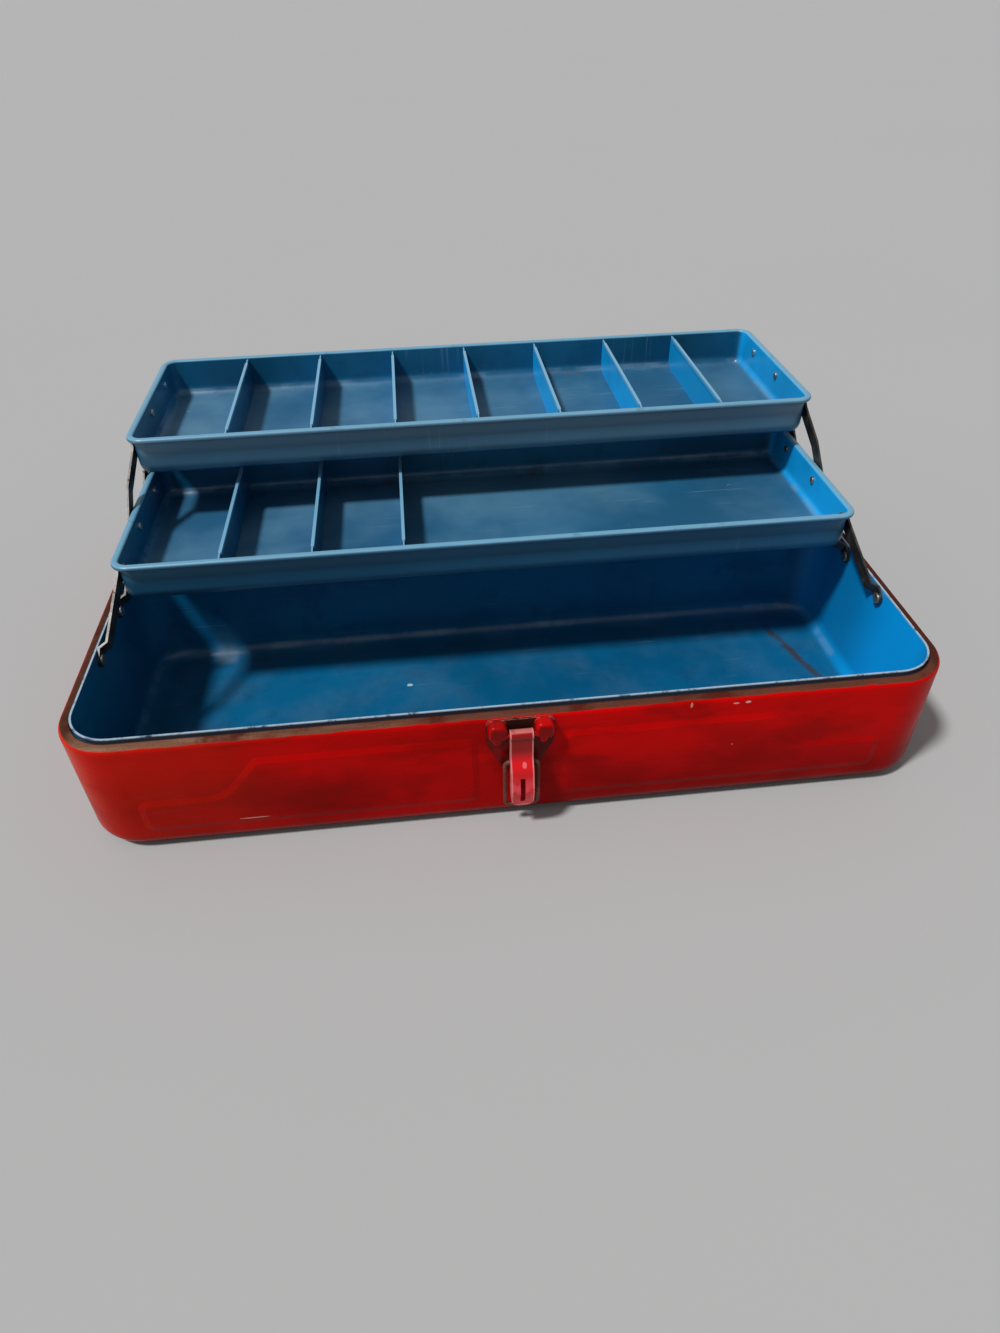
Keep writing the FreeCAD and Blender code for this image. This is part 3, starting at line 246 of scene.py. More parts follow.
def shell_depth(recipe, centre, half_width, half_depth, corner, floor, bend):
    """Depth under the outer face of an open pan, in metres: 0 on the face, negative inside."""
    across = recipe.maths("ABSOLUTE", recipe.along(0))
    across = recipe.maths("SUBTRACT", across, half_width - corner)
    deep = recipe.maths("ABSOLUTE", recipe.maths("SUBTRACT", recipe.along(1), centre))
    deep = recipe.maths("SUBTRACT", deep, half_depth - corner)

    def rounded(first, second, radius):
        outside = recipe.maths(
            "SQRT",
            recipe.maths(
                "ADD",
                recipe.maths("POWER", recipe.maths("MAXIMUM", first, 0.0), 2.0),
                recipe.maths("POWER", recipe.maths("MAXIMUM", second, 0.0), 2.0),
            ),
        )
        within = recipe.maths("MINIMUM", recipe.maths("MAXIMUM", first, second), 0.0)
        return recipe.maths("SUBTRACT", recipe.maths("ADD", outside, within), radius)

    wall = recipe.maths("ADD", rounded(across, deep, corner), bend)
    low = recipe.maths("SUBTRACT", floor + bend, recipe.along(2))
    return rounded(wall, low, bend)


def red_enamel(name, extra=None, gloss=0.1):
    """Old red enamel: smoky patches, rubbed brighter places, chips, bare and rusty edges, and dirt
    with painted shade in the creases.
    """
    recipe = Recipe(name)
    large = recipe.noise(7.0, 4.0, 0.55)
    middle = recipe.noise(22.0, 5.0, 0.62, (0.7, 1.0, 1.9))
    fine = recipe.noise(420.0, 3.0, 0.6)
    base = recipe.colour(recipe.step(large, 0.36, 0.64), tone(150, 4, 3), tone(190, 5, 5))
    smoke = recipe.both(recipe.step(middle, 0.46, 0.7), 0.55)
    base = recipe.colour(smoke, base, tone(108, 10, 5))
    rubbed = recipe.both(recipe.step(recipe.noise(15.0, 3.0, 0.5), 0.56, 0.72), 0.4)
    base = recipe.colour(rubbed, base, tone(208, 10, 12))
    lines = scratches(recipe, (0.1, 0.2, 0.15), 900.0, 0.69)
    base = recipe.colour(recipe.both(lines, 0.25), base, tone(196, 70, 58))
    chips = recipe.worn(88.0, 0.74)
    ragged = recipe.step(recipe.noise(130.0, 4.0, 0.7), 0.44, 0.62)
    edge = recipe.both(recipe.edges(0.8 * MM), ragged)
    rust = recipe.colour(recipe.noise(260.0, 3.0, 0.6), tone(66, 30, 18), tone(116, 66, 42))
    # Dirt and painted shade: the red is darkened in creases and corners that the AO finds.
    dirt_and_shade = recipe.both(recipe.crevices(5.0 * MM), 0.45)
    base = recipe.colour(dirt_and_shade, base, tone(52, 8, 5))
    base = recipe.colour(recipe.both(edge, 0.8), base, rust)
    base = recipe.colour(chips, base, tone(206, 150, 132))
    bare = recipe.either(edge, chips)
    if extra:
        base, bare = extra(recipe, base, bare)
    rough = recipe.number(recipe.step(middle, 0.3, 0.75), 0.25, 0.42)
    rough = recipe.number(bare, rough, 0.74)
    dents = recipe.relief(recipe.noise(19.0, 2.0, 0.4), 0.9 * MM)
    skin = recipe.relief(recipe.noise(900.0, 2.0, 0.5), 0.012 * MM, dents)
    worn = recipe.relief(recipe.but(recipe.both(bare, fine)), 0.1 * MM, skin)
    recipe.shader.inputs["Specular IOR Level"].default_value = gloss
    return recipe.finish(base, rough, worn)


def case_edges(recipe, base, bare):
    """Wear of the case: a bare ledge under the lip, tan at the left and rusty at the right,
    painted shade in the groove under the lip, and smoky walls, lighter higher up and darker
    towards the foot, with grazes on the front."""
    height = recipe.along(2)
    jitter = recipe.both(recipe.noise(75.0, 5.0, 0.7), 1.5 * MM)
    raised = recipe.maths("ADD", height, jitter)
    ledge = recipe.step(raised, LEDGE_HEIGHT, LEDGE_HEIGHT + 0.55 * MM)
    streaks = recipe.noise(1.0, 4.0, 0.65, (38.0, 300.0, 300.0))
    cloud = recipe.noise(30.0, 4.0, 0.6)
    drift = recipe.maths("ADD", recipe.along(0), recipe.maths("MULTIPLY", cloud, 0.22))
    side = recipe.step(drift, -0.12, 0.1)
    ground = recipe.colour(side, tone(122, 86, 66), tone(94, 54, 42))
    pale = recipe.colour(side, tone(140, 106, 86), tone(106, 60, 46))
    ground = recipe.colour(recipe.step(streaks, 0.44, 0.66), ground, pale)
    ground = recipe.colour(recipe.step(cloud, 0.5, 0.66), ground, tone(84, 34, 24))
    grit = recipe.both(recipe.step(recipe.noise(700.0, 4.0, 0.7), 0.52, 0.66), 0.3)
    ground = recipe.colour(grit, ground, tone(54, 32, 24))
    ends = recipe.step(recipe.maths("ABSOLUTE", recipe.along(0)), 214 * MM, 220 * MM)
    ground = recipe.colour(recipe.both(ends, 0.85), ground, tone(66, 34, 26))
    # Lighter red higher up the wall.
    bright = recipe.both(recipe.step(height, 34 * MM, 66 * MM), 0.5)
    base = recipe.colour(bright, base, tone(212, 3, 3))
    smoke = recipe.step(recipe.noise(15.0, 5.0, 0.64, (0.8, 1.0, 2.2)), 0.47, 0.66)
    base = recipe.colour(recipe.both(smoke, 0.55), base, tone(120, 8, 4))
    # Darker red towards the bottom, on the right of the wall.
    low_down = recipe.step(height, 50 * MM, 14 * MM)
    low_down = recipe.both(low_down, recipe.step(recipe.along(0), -60 * MM, 60 * MM))
    base = recipe.colour(recipe.both(low_down, 0.6), base, tone(122, 3, 3))
    browned = recipe.both(recipe.step(recipe.along(0), -90 * MM, -190 * MM), cloud)
    base = recipe.colour(recipe.both(browned, 0.7), base, tone(190, 38, 18))
    base = recipe.colour(ledge, base, ground)
    depth = shell_depth(recipe, 0.0, CASE_HALF_WIDTH, CASE_HALF_DEPTH, CASE_CORNER, 0.0, CASE_BEND)
    # Painted shade: a dark line in the groove just outside the lip, under the ledge.
    groove_shade = recipe.step(depth, -(LIP_INSET - 1.3 * MM), -(LIP_INSET - 0.5 * MM))
    groove_shade = recipe.both(groove_shade, recipe.step(height, 70.0 * MM, 71.0 * MM))
    base = recipe.colour(recipe.both(groove_shade, 0.85), base, tone(34, 20, 16))
    left = recipe.step(recipe.along(0), -204 * MM, -223 * MM)
    left = recipe.both(left, recipe.step(recipe.along(1), -30 * MM, -60 * MM))
    worn = recipe.both(left, recipe.step(recipe.noise(60.0, 4.0, 0.6), 0.34, 0.6))
    worn = recipe.both(recipe.both(worn, 0.6), recipe.but(ledge))
    base = recipe.colour(worn, base, tone(206, 66, 40))
    # Darker towards the foot.
    foot = recipe.step(height, 8 * MM, 2 * MM)
    base = recipe.colour(recipe.both(foot, 0.7), base, tone(46, 8, 6))
    front = recipe.step(recipe.along(1), -80 * MM, -82 * MM)
    bruise = recipe.either(
        recipe.mark({0: (115 * MM, 1.5 * MM), 2: (69.2 * MM, 0.8 * MM)}),
        recipe.mark({0: (109 * MM, 1.7 * MM), 2: (69.0 * MM, 0.5 * MM)}),
    )
    graze = recipe.either(
        recipe.mark({0: (86 * MM, 0.7 * MM), 2: (70.0 * MM, 1.7 * MM)}),
        recipe.mark({0: (-138 * MM, 8.0 * MM), 2: (19 * MM, 0.4 * MM)}),
    )
    lost = recipe.both(front, recipe.either(bruise, recipe.both(graze, 0.6)))
    base = recipe.colour(lost, base, tone(214, 168, 150))
    return base, recipe.either(recipe.either(ledge, bare), lost)


def lid_inside(recipe, base, bare):
    """The lid is blue inside, like the case, and its rim is rubbed bare."""
    depth = shell_depth(
        recipe, LID_CENTRE, CASE_HALF_WIDTH, CASE_HALF_DEPTH, CASE_CORNER, LID_FACE, CASE_BEND
    )
    inside = recipe.step(depth, -0.4 * MM, -0.6 * MM)
    blue = blue_paint(recipe)[0]
    base = recipe.colour(inside, base, blue)
    rim = recipe.step(recipe.along(2), 71.4 * MM, 72.1 * MM)
    rim = recipe.both(rim, recipe.step(recipe.noise(90.0, 4.0, 0.7), 0.3, 0.5))
    base = recipe.colour(recipe.both(rim, 0.85), base, tone(108, 78, 58))
    return base, recipe.either(rim, bare)


def blue_paint(recipe):
    """Colour and dust of the blue enamel inside the case and the lid, with a painted highlight on
    faces turned to the light and on its bends, which are also rubbed.
    """
    large = recipe.noise(8.0, 4.0, 0.55)
    middle = recipe.noise(44.0, 5.0, 0.65)
    base = recipe.colour(recipe.step(large, 0.35, 0.65), tone(4, 82, 122), tone(8, 98, 142))
    base = recipe.colour(recipe.both(recipe.step(middle, 0.5, 0.75), 0.4), base, tone(6, 56, 92))
    # Painted highlight: faces turned towards -X, where the light comes from, are painted bright
    # cyan, most strongly at the front.
    painted_sunlit_side = recipe.step(recipe.turned(0), -0.35, -0.9)
    ahead = recipe.step(recipe.along(1), 24 * MM, -30 * MM)
    glare = recipe.number(ahead, 0.4, 1.0)
    base = recipe.colour(recipe.both(painted_sunlit_side, glare), base, tone(6, 172, 255))
    lines = scratches(recipe, (0.0, 0.0, 0.35), 800.0, 0.68)
    base = recipe.colour(recipe.both(lines, 0.4), base, tone(112, 152, 184))
    up = recipe.step(recipe.turned(2), 0.6, 0.95)
    dust = recipe.both(up, recipe.step(recipe.noise(21.0, 5.0, 0.6), 0.4, 0.72))
    base = recipe.colour(recipe.both(dust, 0.16), base, tone(88, 120, 144))
    # Pale along the bends: partly rubbed paint, partly a painted highlight.
    bend = recipe.band(recipe.turned(2), 0.62, 0.1, 0.16)
    bend_rub_and_highlight = recipe.both(bend, recipe.step(recipe.noise(30.0, 4.0, 0.6), 0.42, 0.66))
    base = recipe.colour(recipe.both(bend_rub_and_highlight, 0.4), base, tone(112, 152, 178))
    return base, dust


def blue_enamel(name):
    """Blue enamel inside the case, with a pale rubbed lip, painted shade on the lip's outer face, a
    rust streak on the floor and a corner spot that is partly a painted highlight.
    """
    recipe = Recipe(name)
    base, dust = blue_paint(recipe)
    height = recipe.along(2)
    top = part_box("body_liner")[1].z
    lip = recipe.step(height, top - 0.7 * MM, top - 0.3 * MM)
    lip = recipe.both(lip, recipe.step(recipe.noise(120.0, 4.0, 0.7), 0.3, 0.5))
    base = recipe.colour(recipe.both(lip, 0.9), base, tone(164, 186, 202))
    depth = shell_depth(
        recipe, 0.0, CASE_HALF_WIDTH - LIP_INSET, CASE_HALF_DEPTH - LIP_INSET,
        CASE_CORNER - LIP_INSET, 0.0, CASE_BEND
    )
    # Painted shade: a dark band on the lip's outer face, just under its top.
    lip_outer_shade = recipe.both(
        recipe.step(height, top - 2.6 * MM, top - 2.2 * MM),
        recipe.step(depth, -0.5 * MM, -0.3 * MM),
    )
    lip_outer_shade = recipe.both(lip_outer_shade, recipe.but(lip))
    base = recipe.colour(recipe.both(lip_outer_shade, 0.85), base, tone(50, 38, 32))
    low = recipe.step(height, 26 * MM, 14 * MM)
    down = recipe.maths("SUBTRACT", recipe.along(1), 28 * MM)
    slant = recipe.maths("ADD", recipe.along(0), recipe.maths("MULTIPLY", down, 0.28))
    wobble = recipe.maths("MULTIPLY", recipe.noise(70.0, 3.0, 0.6), 7 * MM)
    streak = recipe.band(recipe.maths("ADD", slant, wobble), 198 * MM, 0.9 * MM, 3.4 * MM)
    streak = recipe.both(streak, recipe.step(recipe.noise(130.0, 4.0, 0.7), 0.34, 0.54))
    streak = recipe.both(recipe.both(streak, low), recipe.band(down, 0.0, 22 * MM, 14 * MM))
    base = recipe.colour(recipe.both(streak, 0.8), base, tone(56, 46, 38))
    # Pale spot low in the back-left corner: partly rubbed paint, partly a painted highlight.
    corner = recipe.both(
        recipe.band(recipe.along(0), -175 * MM, 1 * MM, 9 * MM),
        recipe.band(recipe.along(1), 71 * MM, 1 * MM, 8 * MM),
    )
    base = recipe.colour(recipe.both(recipe.both(corner, low), 0.65), base, tone(128, 160, 182))
    spot = recipe.mark({0: (-56 * MM, 1.9 * MM), 1: (28 * MM, 1.3 * MM)})
    chips = recipe.either(recipe.both(spot, low), recipe.worn(76.0, 0.74))
    base = recipe.colour(chips, base, tone(170, 194, 208))
    rough = recipe.number(dust, 0.3, 0.55)
    rough = recipe.number(recipe.either(streak, lip), rough, 0.6)
    dents = recipe.relief(recipe.noise(17.0, 2.0, 0.4), 0.8 * MM)
    skin = recipe.relief(recipe.noise(800.0, 2.0, 0.5), 0.012 * MM, dents)
    recipe.shader.inputs["Specular IOR Level"].default_value = 0.4
    return recipe.finish(base, rough, skin)


def tray_enamel(tray, front, divider=None):
    """Duller blue enamel of a tray or of its dividers: pale rim, partly rubbed and partly a painted
    highlight, or a painted highlight on the hem, dusty floor, dirt and painted shade in the corners,
    scuffs, painted light on faces turned to the light and under the rim. Front is the tone of the
    film on the tray's front face."""
    recipe = Recipe(f"{divider or tray}_enamel")
    low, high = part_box(tray)
    height = recipe.along(2)
    large = recipe.noise(9.0, 4.0, 0.55)
    middle = recipe.noise(60.0, 5.0, 0.65)
    base = recipe.colour(recipe.step(large, 0.35, 0.65), tone(12, 78, 110), tone(22, 98, 136))
    base = recipe.colour(recipe.both(recipe.step(middle, 0.5, 0.75), 0.4), base, tone(20, 56, 84))
    shaded = recipe.step(recipe.turned(1), -0.6, -0.95)
    outside = recipe.both(shaded, recipe.step(recipe.along(1), low.y + 9 * MM, low.y + 6 * MM))
    across = recipe.step(recipe.along(0), -180 * MM, 200 * MM)
    film = recipe.colour(across, tone(*front), tone(*(value + 16 for value in front)))
    # Painted light: the film is lighter just under the rim, against the shadow that the rim casts on
    # the front face.
    painted_light_under_rim = recipe.step(height, high.z - 15 * MM, high.z - 6 * MM)
    film = recipe.colour(recipe.both(painted_light_under_rim, 0.7), film, tone(*(value + 42 for value in front)))
    base = recipe.colour(recipe.both(outside, 0.8), base, film)
    # Painted highlight: inner faces turned towards -X, where the light comes from, are painted
    # bright cyan.
    painted_sunlit_side = recipe.step(recipe.turned(0), -0.35, -0.9)
    painted_sunlit_side = recipe.both(painted_sunlit_side, recipe.step(recipe.along(0), -204 * MM, -196 * MM))
    patchy = recipe.number(recipe.step(large, 0.4, 0.6), 0.7, 1.0)
    base = recipe.colour(recipe.both(painted_sunlit_side, patchy), base, tone(16, 178, 255))
    upright = recipe.step(recipe.turned(2), 0.35, 0.15)
    patches = recipe.step(recipe.noise(13.0, 2.0, 0.5), 0.5, 0.62)
    scuffs = recipe.step(recipe.noise(1.0, 2.0, 0.5, (420.0, 420.0, 9.0)), 0.62, 0.72)
    scuffs = recipe.both(recipe.both(scuffs, patches), upright)
    base = recipe.colour(recipe.both(scuffs, 0.3), base, tone(112, 148, 172))
    flat = recipe.step(recipe.turned(2), 0.6, 0.95)
    lines = scratches(recipe, (0.0, 0.0, 0.5), 760.0, 0.66)
    cross = scratches(recipe, (0.0, 0.0, -1.1), 820.0, 0.67)
    lines = recipe.both(recipe.either(lines, cross), flat)
    base = recipe.colour(recipe.both(lines, 0.5), base, tone(150, 180, 200))
    inside = recipe.step(height, high.z - 2 * MM, high.z - 4 * MM)
    dust = recipe.both(flat, inside)
    cloud = recipe.step(recipe.noise(11.0, 4.0, 0.55), 0.34, 0.7)
    grey = recipe.colour(cloud, tone(36, 90, 124), tone(86, 130, 156))
    thickness = recipe.number(recipe.step(recipe.along(0), -190 * MM, 150 * MM), 0.9, 0.5)
    base = recipe.colour(recipe.both(dust, thickness), base, grey)
    if divider:
        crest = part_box(divider)[1].z
        # Darker at the divider's front end, next to the tray's front wall.
        dirt_and_shade = recipe.step(recipe.along(1), low.y + 3.4 * MM, low.y + 2.2 * MM)
        base = recipe.colour(recipe.both(dirt_and_shade, 0.8), base, tone(26, 30, 36))
        # Painted highlight: a pale line along the divider's hem.
        hem_highlight = recipe.step(height, crest - 1.8 * MM, crest - 1.2 * MM)
        base = recipe.colour(recipe.both(hem_highlight, 0.8), base, tone(126, 182, 214))
    else:
        back = recipe.step(recipe.along(1), high.y - 20 * MM, high.y - 3 * MM)
        likely = recipe.maths("ADD", recipe.noise(46.0, 4.0, 0.65), recipe.both(back, 0.13))
        # Brown dirt in the corners and heaps at the back; the corners are found by AO, so it also
        # paints shade there.
        dirt_and_shade = recipe.both(recipe.crevices(7.0 * MM), recipe.step(likely, 0.52, 0.68))
        heaps = recipe.both(recipe.step(recipe.noise(58.0, 4.0, 0.65), 0.57, 0.64), flat)
        dirt_and_shade = recipe.both(recipe.either(dirt_and_shade, recipe.both(heaps, back)), inside)
        base = recipe.colour(recipe.both(dirt_and_shade, 0.8), base, tone(88, 62, 44))
    # Pale along the bends: partly rubbed paint, partly a painted highlight.
    bend = recipe.band(recipe.turned(2), 0.6, 0.15, 0.2)
    bend_rub_and_highlight = recipe.both(bend, recipe.step(recipe.noise(40.0, 4.0, 0.6), 0.4, 0.64))
    base = recipe.colour(recipe.both(bend_rub_and_highlight, 0.35), base, tone(124, 154, 176))
    # Pale top of the rim: partly rubbed paint, partly a painted highlight.
    top = recipe.step(height, high.z - 1.2 * MM, high.z - 0.5 * MM)
    rim_wear_and_highlight = recipe.both(top, recipe.step(recipe.noise(80.0, 4.0, 0.65), 0.16, 0.42))
    base = recipe.colour(recipe.both(rim_wear_and_highlight, 0.7), base, tone(122, 178, 206))
    ragged = recipe.step(recipe.noise(150.0, 4.0, 0.7), 0.4, 0.6)
    edge = recipe.both(recipe.edges(0.5 * MM), ragged)
    base = recipe.colour(recipe.both(edge, 0.6), base, tone(132, 176, 202))
    chips = recipe.worn(105.0, 0.73)
    base = recipe.colour(chips, base, tone(170, 190, 202))
    rough = recipe.number(dust, 0.3, 0.52)
    rough = recipe.number(dirt_and_shade, rough, 0.8)
    dents = recipe.relief(recipe.noise(15.0, 2.0, 0.4), 0.5 * MM)
    skin = recipe.relief(recipe.noise(850.0, 2.0, 0.5), 0.012 * MM, dents)
    grit = recipe.relief(recipe.both(dirt_and_shade, recipe.noise(700.0, 3.0, 0.7)), 0.15 * MM, skin)
    recipe.shader.inputs["Specular IOR Level"].default_value = 0.4
    return recipe.finish(base, rough, grit)


def plate_wear(recipe, base, bare):
    """The latch plate: painted shade on its front faces and between the ears, dirt and painted shade
    on its flat, the ears' edges rubbed pale.
    """
    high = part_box("latch_base_plate")[1]
    # Painted shade: the front faces of the plate and its ears are darker red.
    front = recipe.step(recipe.turned(1), -0.7, -0.95)
    base = recipe.colour(recipe.both(front, 0.8), base, tone(112, 4, 4))
    # Dirt and painted shade on the flat of the plate, round the ears and lever.
    flat = recipe.step(recipe.along(1), high.y - 2.4 * MM, high.y - 1.4 * MM)
    dirt_and_shade = recipe.both(flat, recipe.step(recipe.noise(110.0, 4.0, 0.65), 0.32, 0.6))
    base = recipe.colour(recipe.both(dirt_and_shade, 0.75), base, tone(62, 18, 12))
    # Painted shade: a near-black patch between the ears above the lever.
    ears_gap_shade = recipe.both(
        recipe.band(recipe.along(0), 0.0, 6.4 * MM, 0.8 * MM),
        recipe.step(recipe.along(2), high.z - 9 * MM, high.z - 6 * MM),
    )
    base = recipe.colour(recipe.both(ears_gap_shade, 0.9), base, tone(38, 24, 18))
    rubbed = recipe.step(recipe.noise(210.0, 3.0, 0.6), 0.3, 0.5)
    above = recipe.step(recipe.along(2), high.z - 4 * MM, high.z - 1 * MM)
    rim = recipe.both(recipe.both(recipe.edges(0.7 * MM), rubbed), above)
    base = recipe.colour(recipe.both(rim, 0.8), base, tone(226, 146, 136))
    return base, bare


def lever_wear(recipe, base, bare):
    """The latch lever: pale roll at the top, painted shade on the flat, painted light and a painted
    highlight on the bulge and lower down, pale edges and tip.
    """
    low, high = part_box("latch_lever")
    height = recipe.along(2)
    # Painted light: the bulge is bright red, as if in the sun.
    bright = recipe.step(height, high.z - 10 * MM, high.z - 20 * MM)
    base = recipe.colour(recipe.both(bright, 0.85), base, tone(222, 14, 26))
    # Painted shade: the flat below the roll is darker red.
    flat = recipe.band(height, high.z - 7 * MM, 5 * MM, 4 * MM)
    base = recipe.colour(recipe.both(flat, 0.6), base, tone(118, 6, 6))
    # Painted light: pinkish patches lower down, where the flanks face the light.
    bloom = recipe.both(
        recipe.step(height, high.z - 26 * MM, high.z - 34 * MM),
        recipe.step(recipe.noise(190.0, 3.0, 0.6), 0.36, 0.6),
    )
    base = recipe.colour(recipe.both(bloom, 0.55), base, tone(236, 92, 104))
    # Painted highlight on the bulge.
    shine = recipe.mark({0: (1.2 * MM, 1.2 * MM), 2: (high.z - 21 * MM, 1.6 * MM)})
    base = recipe.colour(recipe.both(shine, 0.6), base, tone(246, 128, 136))
    ragged = recipe.step(recipe.noise(240.0, 3.0, 0.6), 0.26, 0.46)
    sides = recipe.step(recipe.maths("ABSOLUTE", recipe.along(0)), 4.9 * MM, 5.4 * MM)
    roll = recipe.both(recipe.step(height, high.z - 0.9 * MM, high.z - 0.3 * MM), 0.6)
    tip = recipe.step(height, low.z + 1.8 * MM, low.z + 1.0 * MM)
    pale = recipe.both(recipe.either(recipe.either(roll, tip), sides), ragged)
    base = recipe.colour(recipe.both(pale, 0.75), base, tone(232, 150, 144))
    return base, bare


def old_steel(name, dark, light, rust, rusty, shine, grain, rubbed=0.6):
    """Bare or plated steel that has dulled: darker film, brighter rubbed edges, rust bloom."""
    recipe = Recipe(name)
    cloud = recipe.noise(90.0, 4.0, 0.6)
    speck = recipe.noise(900.0, 4.0, 0.7)
    base = recipe.colour(recipe.step(cloud, 0.35, 0.65), dark, light)
    ragged = recipe.step(recipe.noise(300.0, 3.0, 0.6), 0.35, 0.6)
    edge = recipe.both(recipe.edges(0.35 * MM), ragged)
    base = recipe.colour(recipe.both(edge, rubbed), base, tone(168, 162, 150))
    bloom = recipe.step(recipe.noise(170.0, 5.0, 0.7), 1.0 - rusty, 1.12 - rusty)
    bloom = recipe.either(bloom, recipe.both(recipe.crevices(2.0 * MM), 0.6))
    tint = recipe.colour(speck, rust, tone(58, 36, 24))
    base = recipe.colour(bloom, base, tint)
    rough = recipe.number(bloom, 0.38, 0.82)
    metal = recipe.both(recipe.but(bloom), shine)
    pits = recipe.relief(speck, grain)
    return recipe.finish(base, rough, pits, metal)


def painted_rivet(name):
    """A rivet painted over with the tray: the paint is rubbed off the crown."""
    recipe = Recipe(name)
    patch = recipe.step(recipe.noise(420.0, 3.0, 0.6), 0.42, 0.56)
    cloud = recipe.noise(130.0, 3.0, 0.6)
    paint = recipe.colour(cloud, tone(16, 84, 140), tone(30, 120, 186))
    metal = recipe.colour(cloud, tone(150, 158, 160), tone(206, 212, 214))
    base = recipe.colour(patch, paint, metal)
    rough = recipe.number(patch, 0.4, 0.28)
    skin = recipe.relief(recipe.noise(1200.0, 2.0, 0.5), 0.02 * MM)
    return recipe.finish(base, rough, skin, recipe.both(patch, 0.85))


def floor_paint():
    """Matt pale studio floor with the faintest unevenness."""
    recipe = Recipe("studio_floor")
    cloud = recipe.noise(2.0, 3.0, 0.5)
    low = tone(*(value - 1 for value in FLOOR_TONE))
    high = tone(*(value + 1 for value in FLOOR_TONE))
    skin = recipe.relief(recipe.noise(300.0, 2.0, 0.5), 0.01 * MM)
    recipe.shader.inputs["Specular IOR Level"].default_value = 0.1
    return recipe.finish(recipe.colour(cloud, low, high), 0.95, skin)


def starting(*words):
    return sorted(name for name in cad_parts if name.startswith(words))


def ending(*words):
    return sorted(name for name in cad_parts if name.endswith(words))


def dress(nodes, material):
    for node in nodes:
        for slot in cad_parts[node].material_slots:
            slot.material = material


def make_floor():
    mesh = bpy.data.meshes.new("studio_floor")
    corners = [(-1, -1), (1, -1), (1, 1), (-1, 1)]
    points = [(x * FLOOR_REACH, y * FLOOR_REACH, 0.0) for x, y in corners]
    mesh.from_pydata(points, [], [(0, 1, 2, 3)])
    floor = bpy.data.objects.new("studio_floor", mesh)
    bpy.context.scene.collection.objects.link(floor)
    floor.location.z = -FLOOR_DROP
    mesh.materials.append(floor_paint())


def make_lights():
    light = bpy.data.lights.new("key", "SUN")
    light.energy = SUN_STRENGTH
    light.angle = math.radians(SUN_SPREAD)
    key = bpy.data.objects.new("key", light)
    key.rotation_euler = Vector(SUN_TRAVEL).to_track_quat("-Z", "Y").to_euler()
    bpy.context.scene.collection.objects.link(key)


def make_world():
    world = bpy.data.worlds.new("studio")
    bpy.context.scene.world = world
    world.use_nodes = True
    tree = world.node_tree
    tree.nodes.clear()
    output = tree.nodes.new("ShaderNodeOutputWorld")
    path = tree.nodes.new("ShaderNodeLightPath")
    seen = tree.nodes.new("ShaderNodeMath")
    seen.operation = "MAXIMUM"
    tree.links.new(path.outputs["Is Camera Ray"], seen.inputs[0])
    tree.links.new(path.outputs["Is Glossy Ray"], seen.inputs[1])
    through = tree.nodes.new("ShaderNodeMath")
    through.operation = "MAXIMUM"
    tree.links.new(seen.outputs[0], through.inputs[0])
    tree.links.new(path.outputs["Is Transmission Ray"], through.inputs[1])
    lit = tree.nodes.new("ShaderNodeBackground")
    lit.inputs["Color"].default_value = (1.0, 1.0, 1.0, 1.0)
    lit.inputs["Strength"].default_value = SKY_STRENGTH
    shown = tree.nodes.new("ShaderNodeBackground")
    shown.inputs["Color"].default_value = tone(*SKY_TONE)
    shown.inputs["Strength"].default_value = 1.0
    choice = tree.nodes.new("ShaderNodeMixShader")
    tree.links.new(through.outputs[0], choice.inputs[0])
    tree.links.new(lit.outputs[0], choice.inputs[1])
    tree.links.new(shown.outputs[0], choice.inputs[2])
    tree.links.new(choice.outputs[0], output.inputs["Surface"])


def make_camera():
    """The camera stands where the photograph was taken from."""
    pitch, yaw, roll = (math.radians(v) for v in (CAMERA_PITCH, CAMERA_YAW, CAMERA_ROLL))
    level = Matrix((
        (1.0, 0.0, 0.0),
        (0.0, -math.sin(pitch), -math.cos(pitch)),
        (0.0, math.cos(pitch), -math.sin(pitch)),
    ))
    turn = Matrix((
        (math.cos(yaw), math.sin(yaw), 0.0),
        (-math.sin(yaw), math.cos(yaw), 0.0),
        (0.0, 0.0, 1.0),
    ))
    lean = Matrix((
        (math.cos(roll), -math.sin(roll), 0.0),
        (math.sin(roll), math.cos(roll), 0.0),
        (0.0, 0.0, 1.0),
    ))
    right, down, ahead = lean @ level @ turn
    data = bpy.data.cameras.new("photo_camera")
    data.sensor_width = SENSOR
    data.lens = PHOTO_FOCAL / max(PHOTO_SIZE) * SENSOR
    data.clip_start = CLIP_NEAR
    data.clip_end = CLIP_FAR
    camera = bpy.data.objects.new("photo_camera", data)
    bpy.context.scene.collection.objects.link(camera)
    facing = Matrix((right, -down, -ahead)).transposed()
    spot = Matrix.Translation(Vector(CAMERA_PLACE) * MM)
    camera.matrix_world = spot @ facing.to_4x4()
    bpy.context.scene.camera = camera


make_camera()
make_floor()
make_lights()
make_world()
bpy.context.scene.view_settings.view_transform = "Standard"

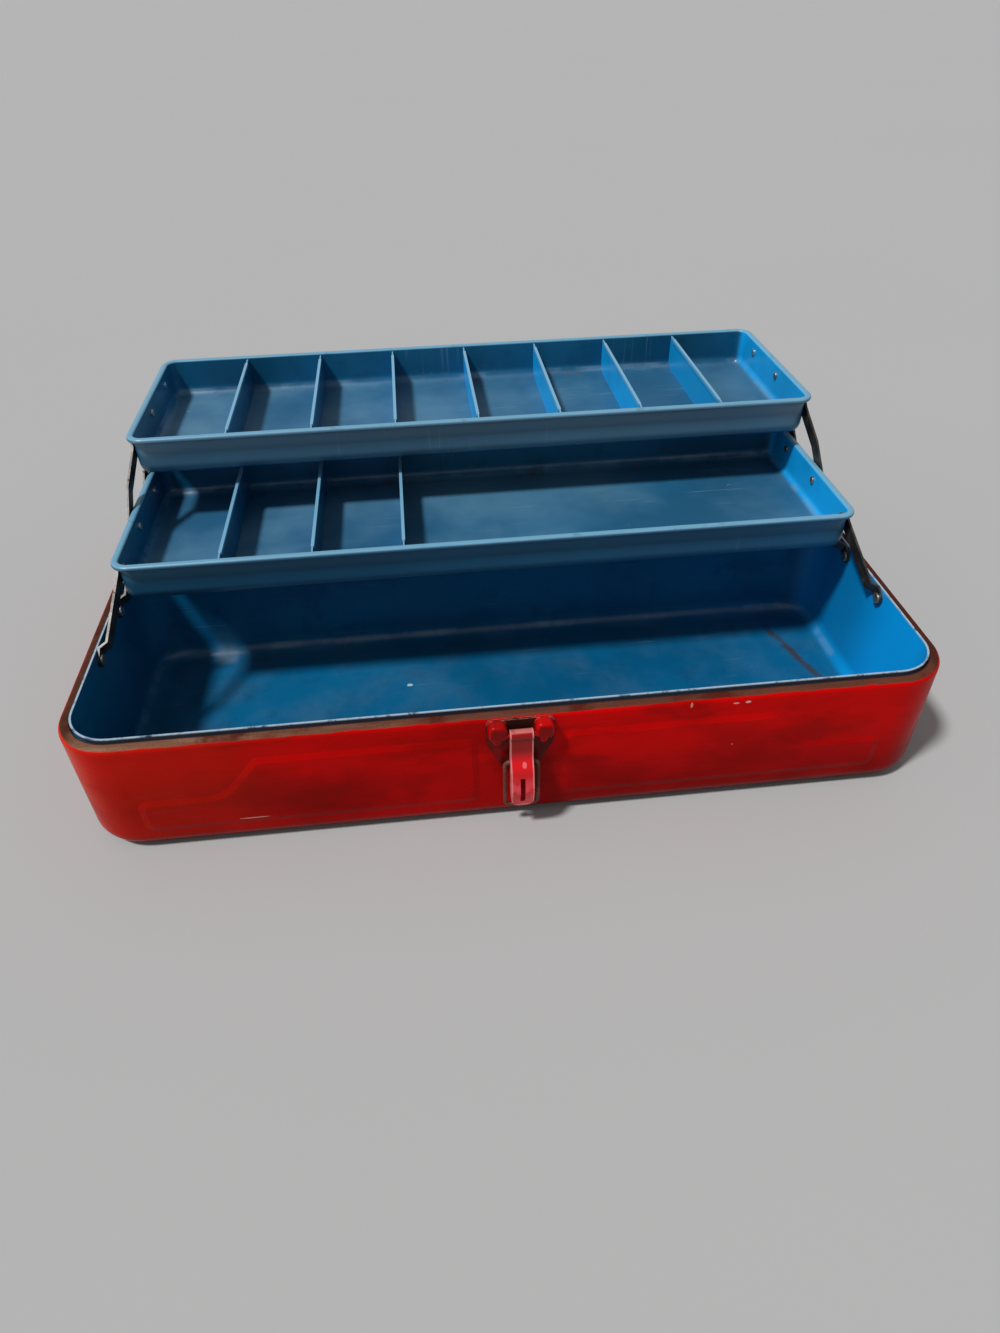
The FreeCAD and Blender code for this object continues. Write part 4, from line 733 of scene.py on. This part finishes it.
dress(["body_shell"], red_enamel("red_enamel_case", case_edges, 0.04))
dress(["lid_shell"], red_enamel("red_enamel_lid", lid_inside, 0.04))
dress(["latch_base_plate"], red_enamel("red_enamel_latch_plate", plate_wear))
dress(["latch_lever"], red_enamel("red_enamel_latch_lever", lever_wear, 0.3))
fittings = ["latch_base_rivets", "latch_pivot_pin", "lid_catch", "lid_catch_rivets"]
dress(fittings, red_enamel("red_enamel_fittings"))
dress(["body_liner"], blue_enamel("blue_enamel_case"))
for tray, front in (("lower_tray", LOWER_TRAY_FRONT), ("upper_tray", UPPER_TRAY_FRONT)):
    dress([tray], tray_enamel(tray, front))
    dividers = starting(f"{tray}_divider")
    dress(dividers, tray_enamel(tray, front, dividers[0]))

strap_steel = old_steel(
    "strap_steel", tone(50, 48, 46), tone(84, 78, 72), tone(92, 64, 48), 0.4, 0.6, 0.05 * MM, 0.3
)
dress(ending("link_left", "link_right"), strap_steel)
rivet_steel = old_steel(
    "rivet_steel", tone(118, 118, 116), tone(176, 176, 172), tone(120, 90, 66), 0.34, 0.85, 0.03 * MM
)
dress(ending("pivot_rivets", "hinge_body_rivets", "hinge_lid_rivets", "bracket_rivets"), rivet_steel)
dress(["hinge_pin_left", "hinge_pin_right"], rivet_steel)
dress([name for name in ending("rivets", "spacers") if "_tray_" in name], rivet_steel)
dress(ending("plug_rivets"), painted_rivet("rivet_blue"))
hinge_steel = old_steel(
    "hinge_steel", tone(70, 66, 60), tone(118, 112, 102), tone(112, 74, 48), 0.45, 0.7, 0.05 * MM
)
dress(starting("hinge_leaf"), hinge_steel)
dress(["handle_bracket_left", "handle_bracket_right"], hinge_steel)
rusty_wire = old_steel(
    "rusty_wire", tone(96, 44, 32), tone(132, 74, 56), tone(108, 50, 34), 0.6, 0.35, 0.12 * MM
)
dress(["latch_bail"], rusty_wire)
handle_steel = old_steel(
    "handle_steel", tone(84, 82, 78), tone(146, 142, 134), tone(112, 78, 54), 0.4, 0.85, 0.05 * MM
)
dress(["lid_handle"], handle_steel)
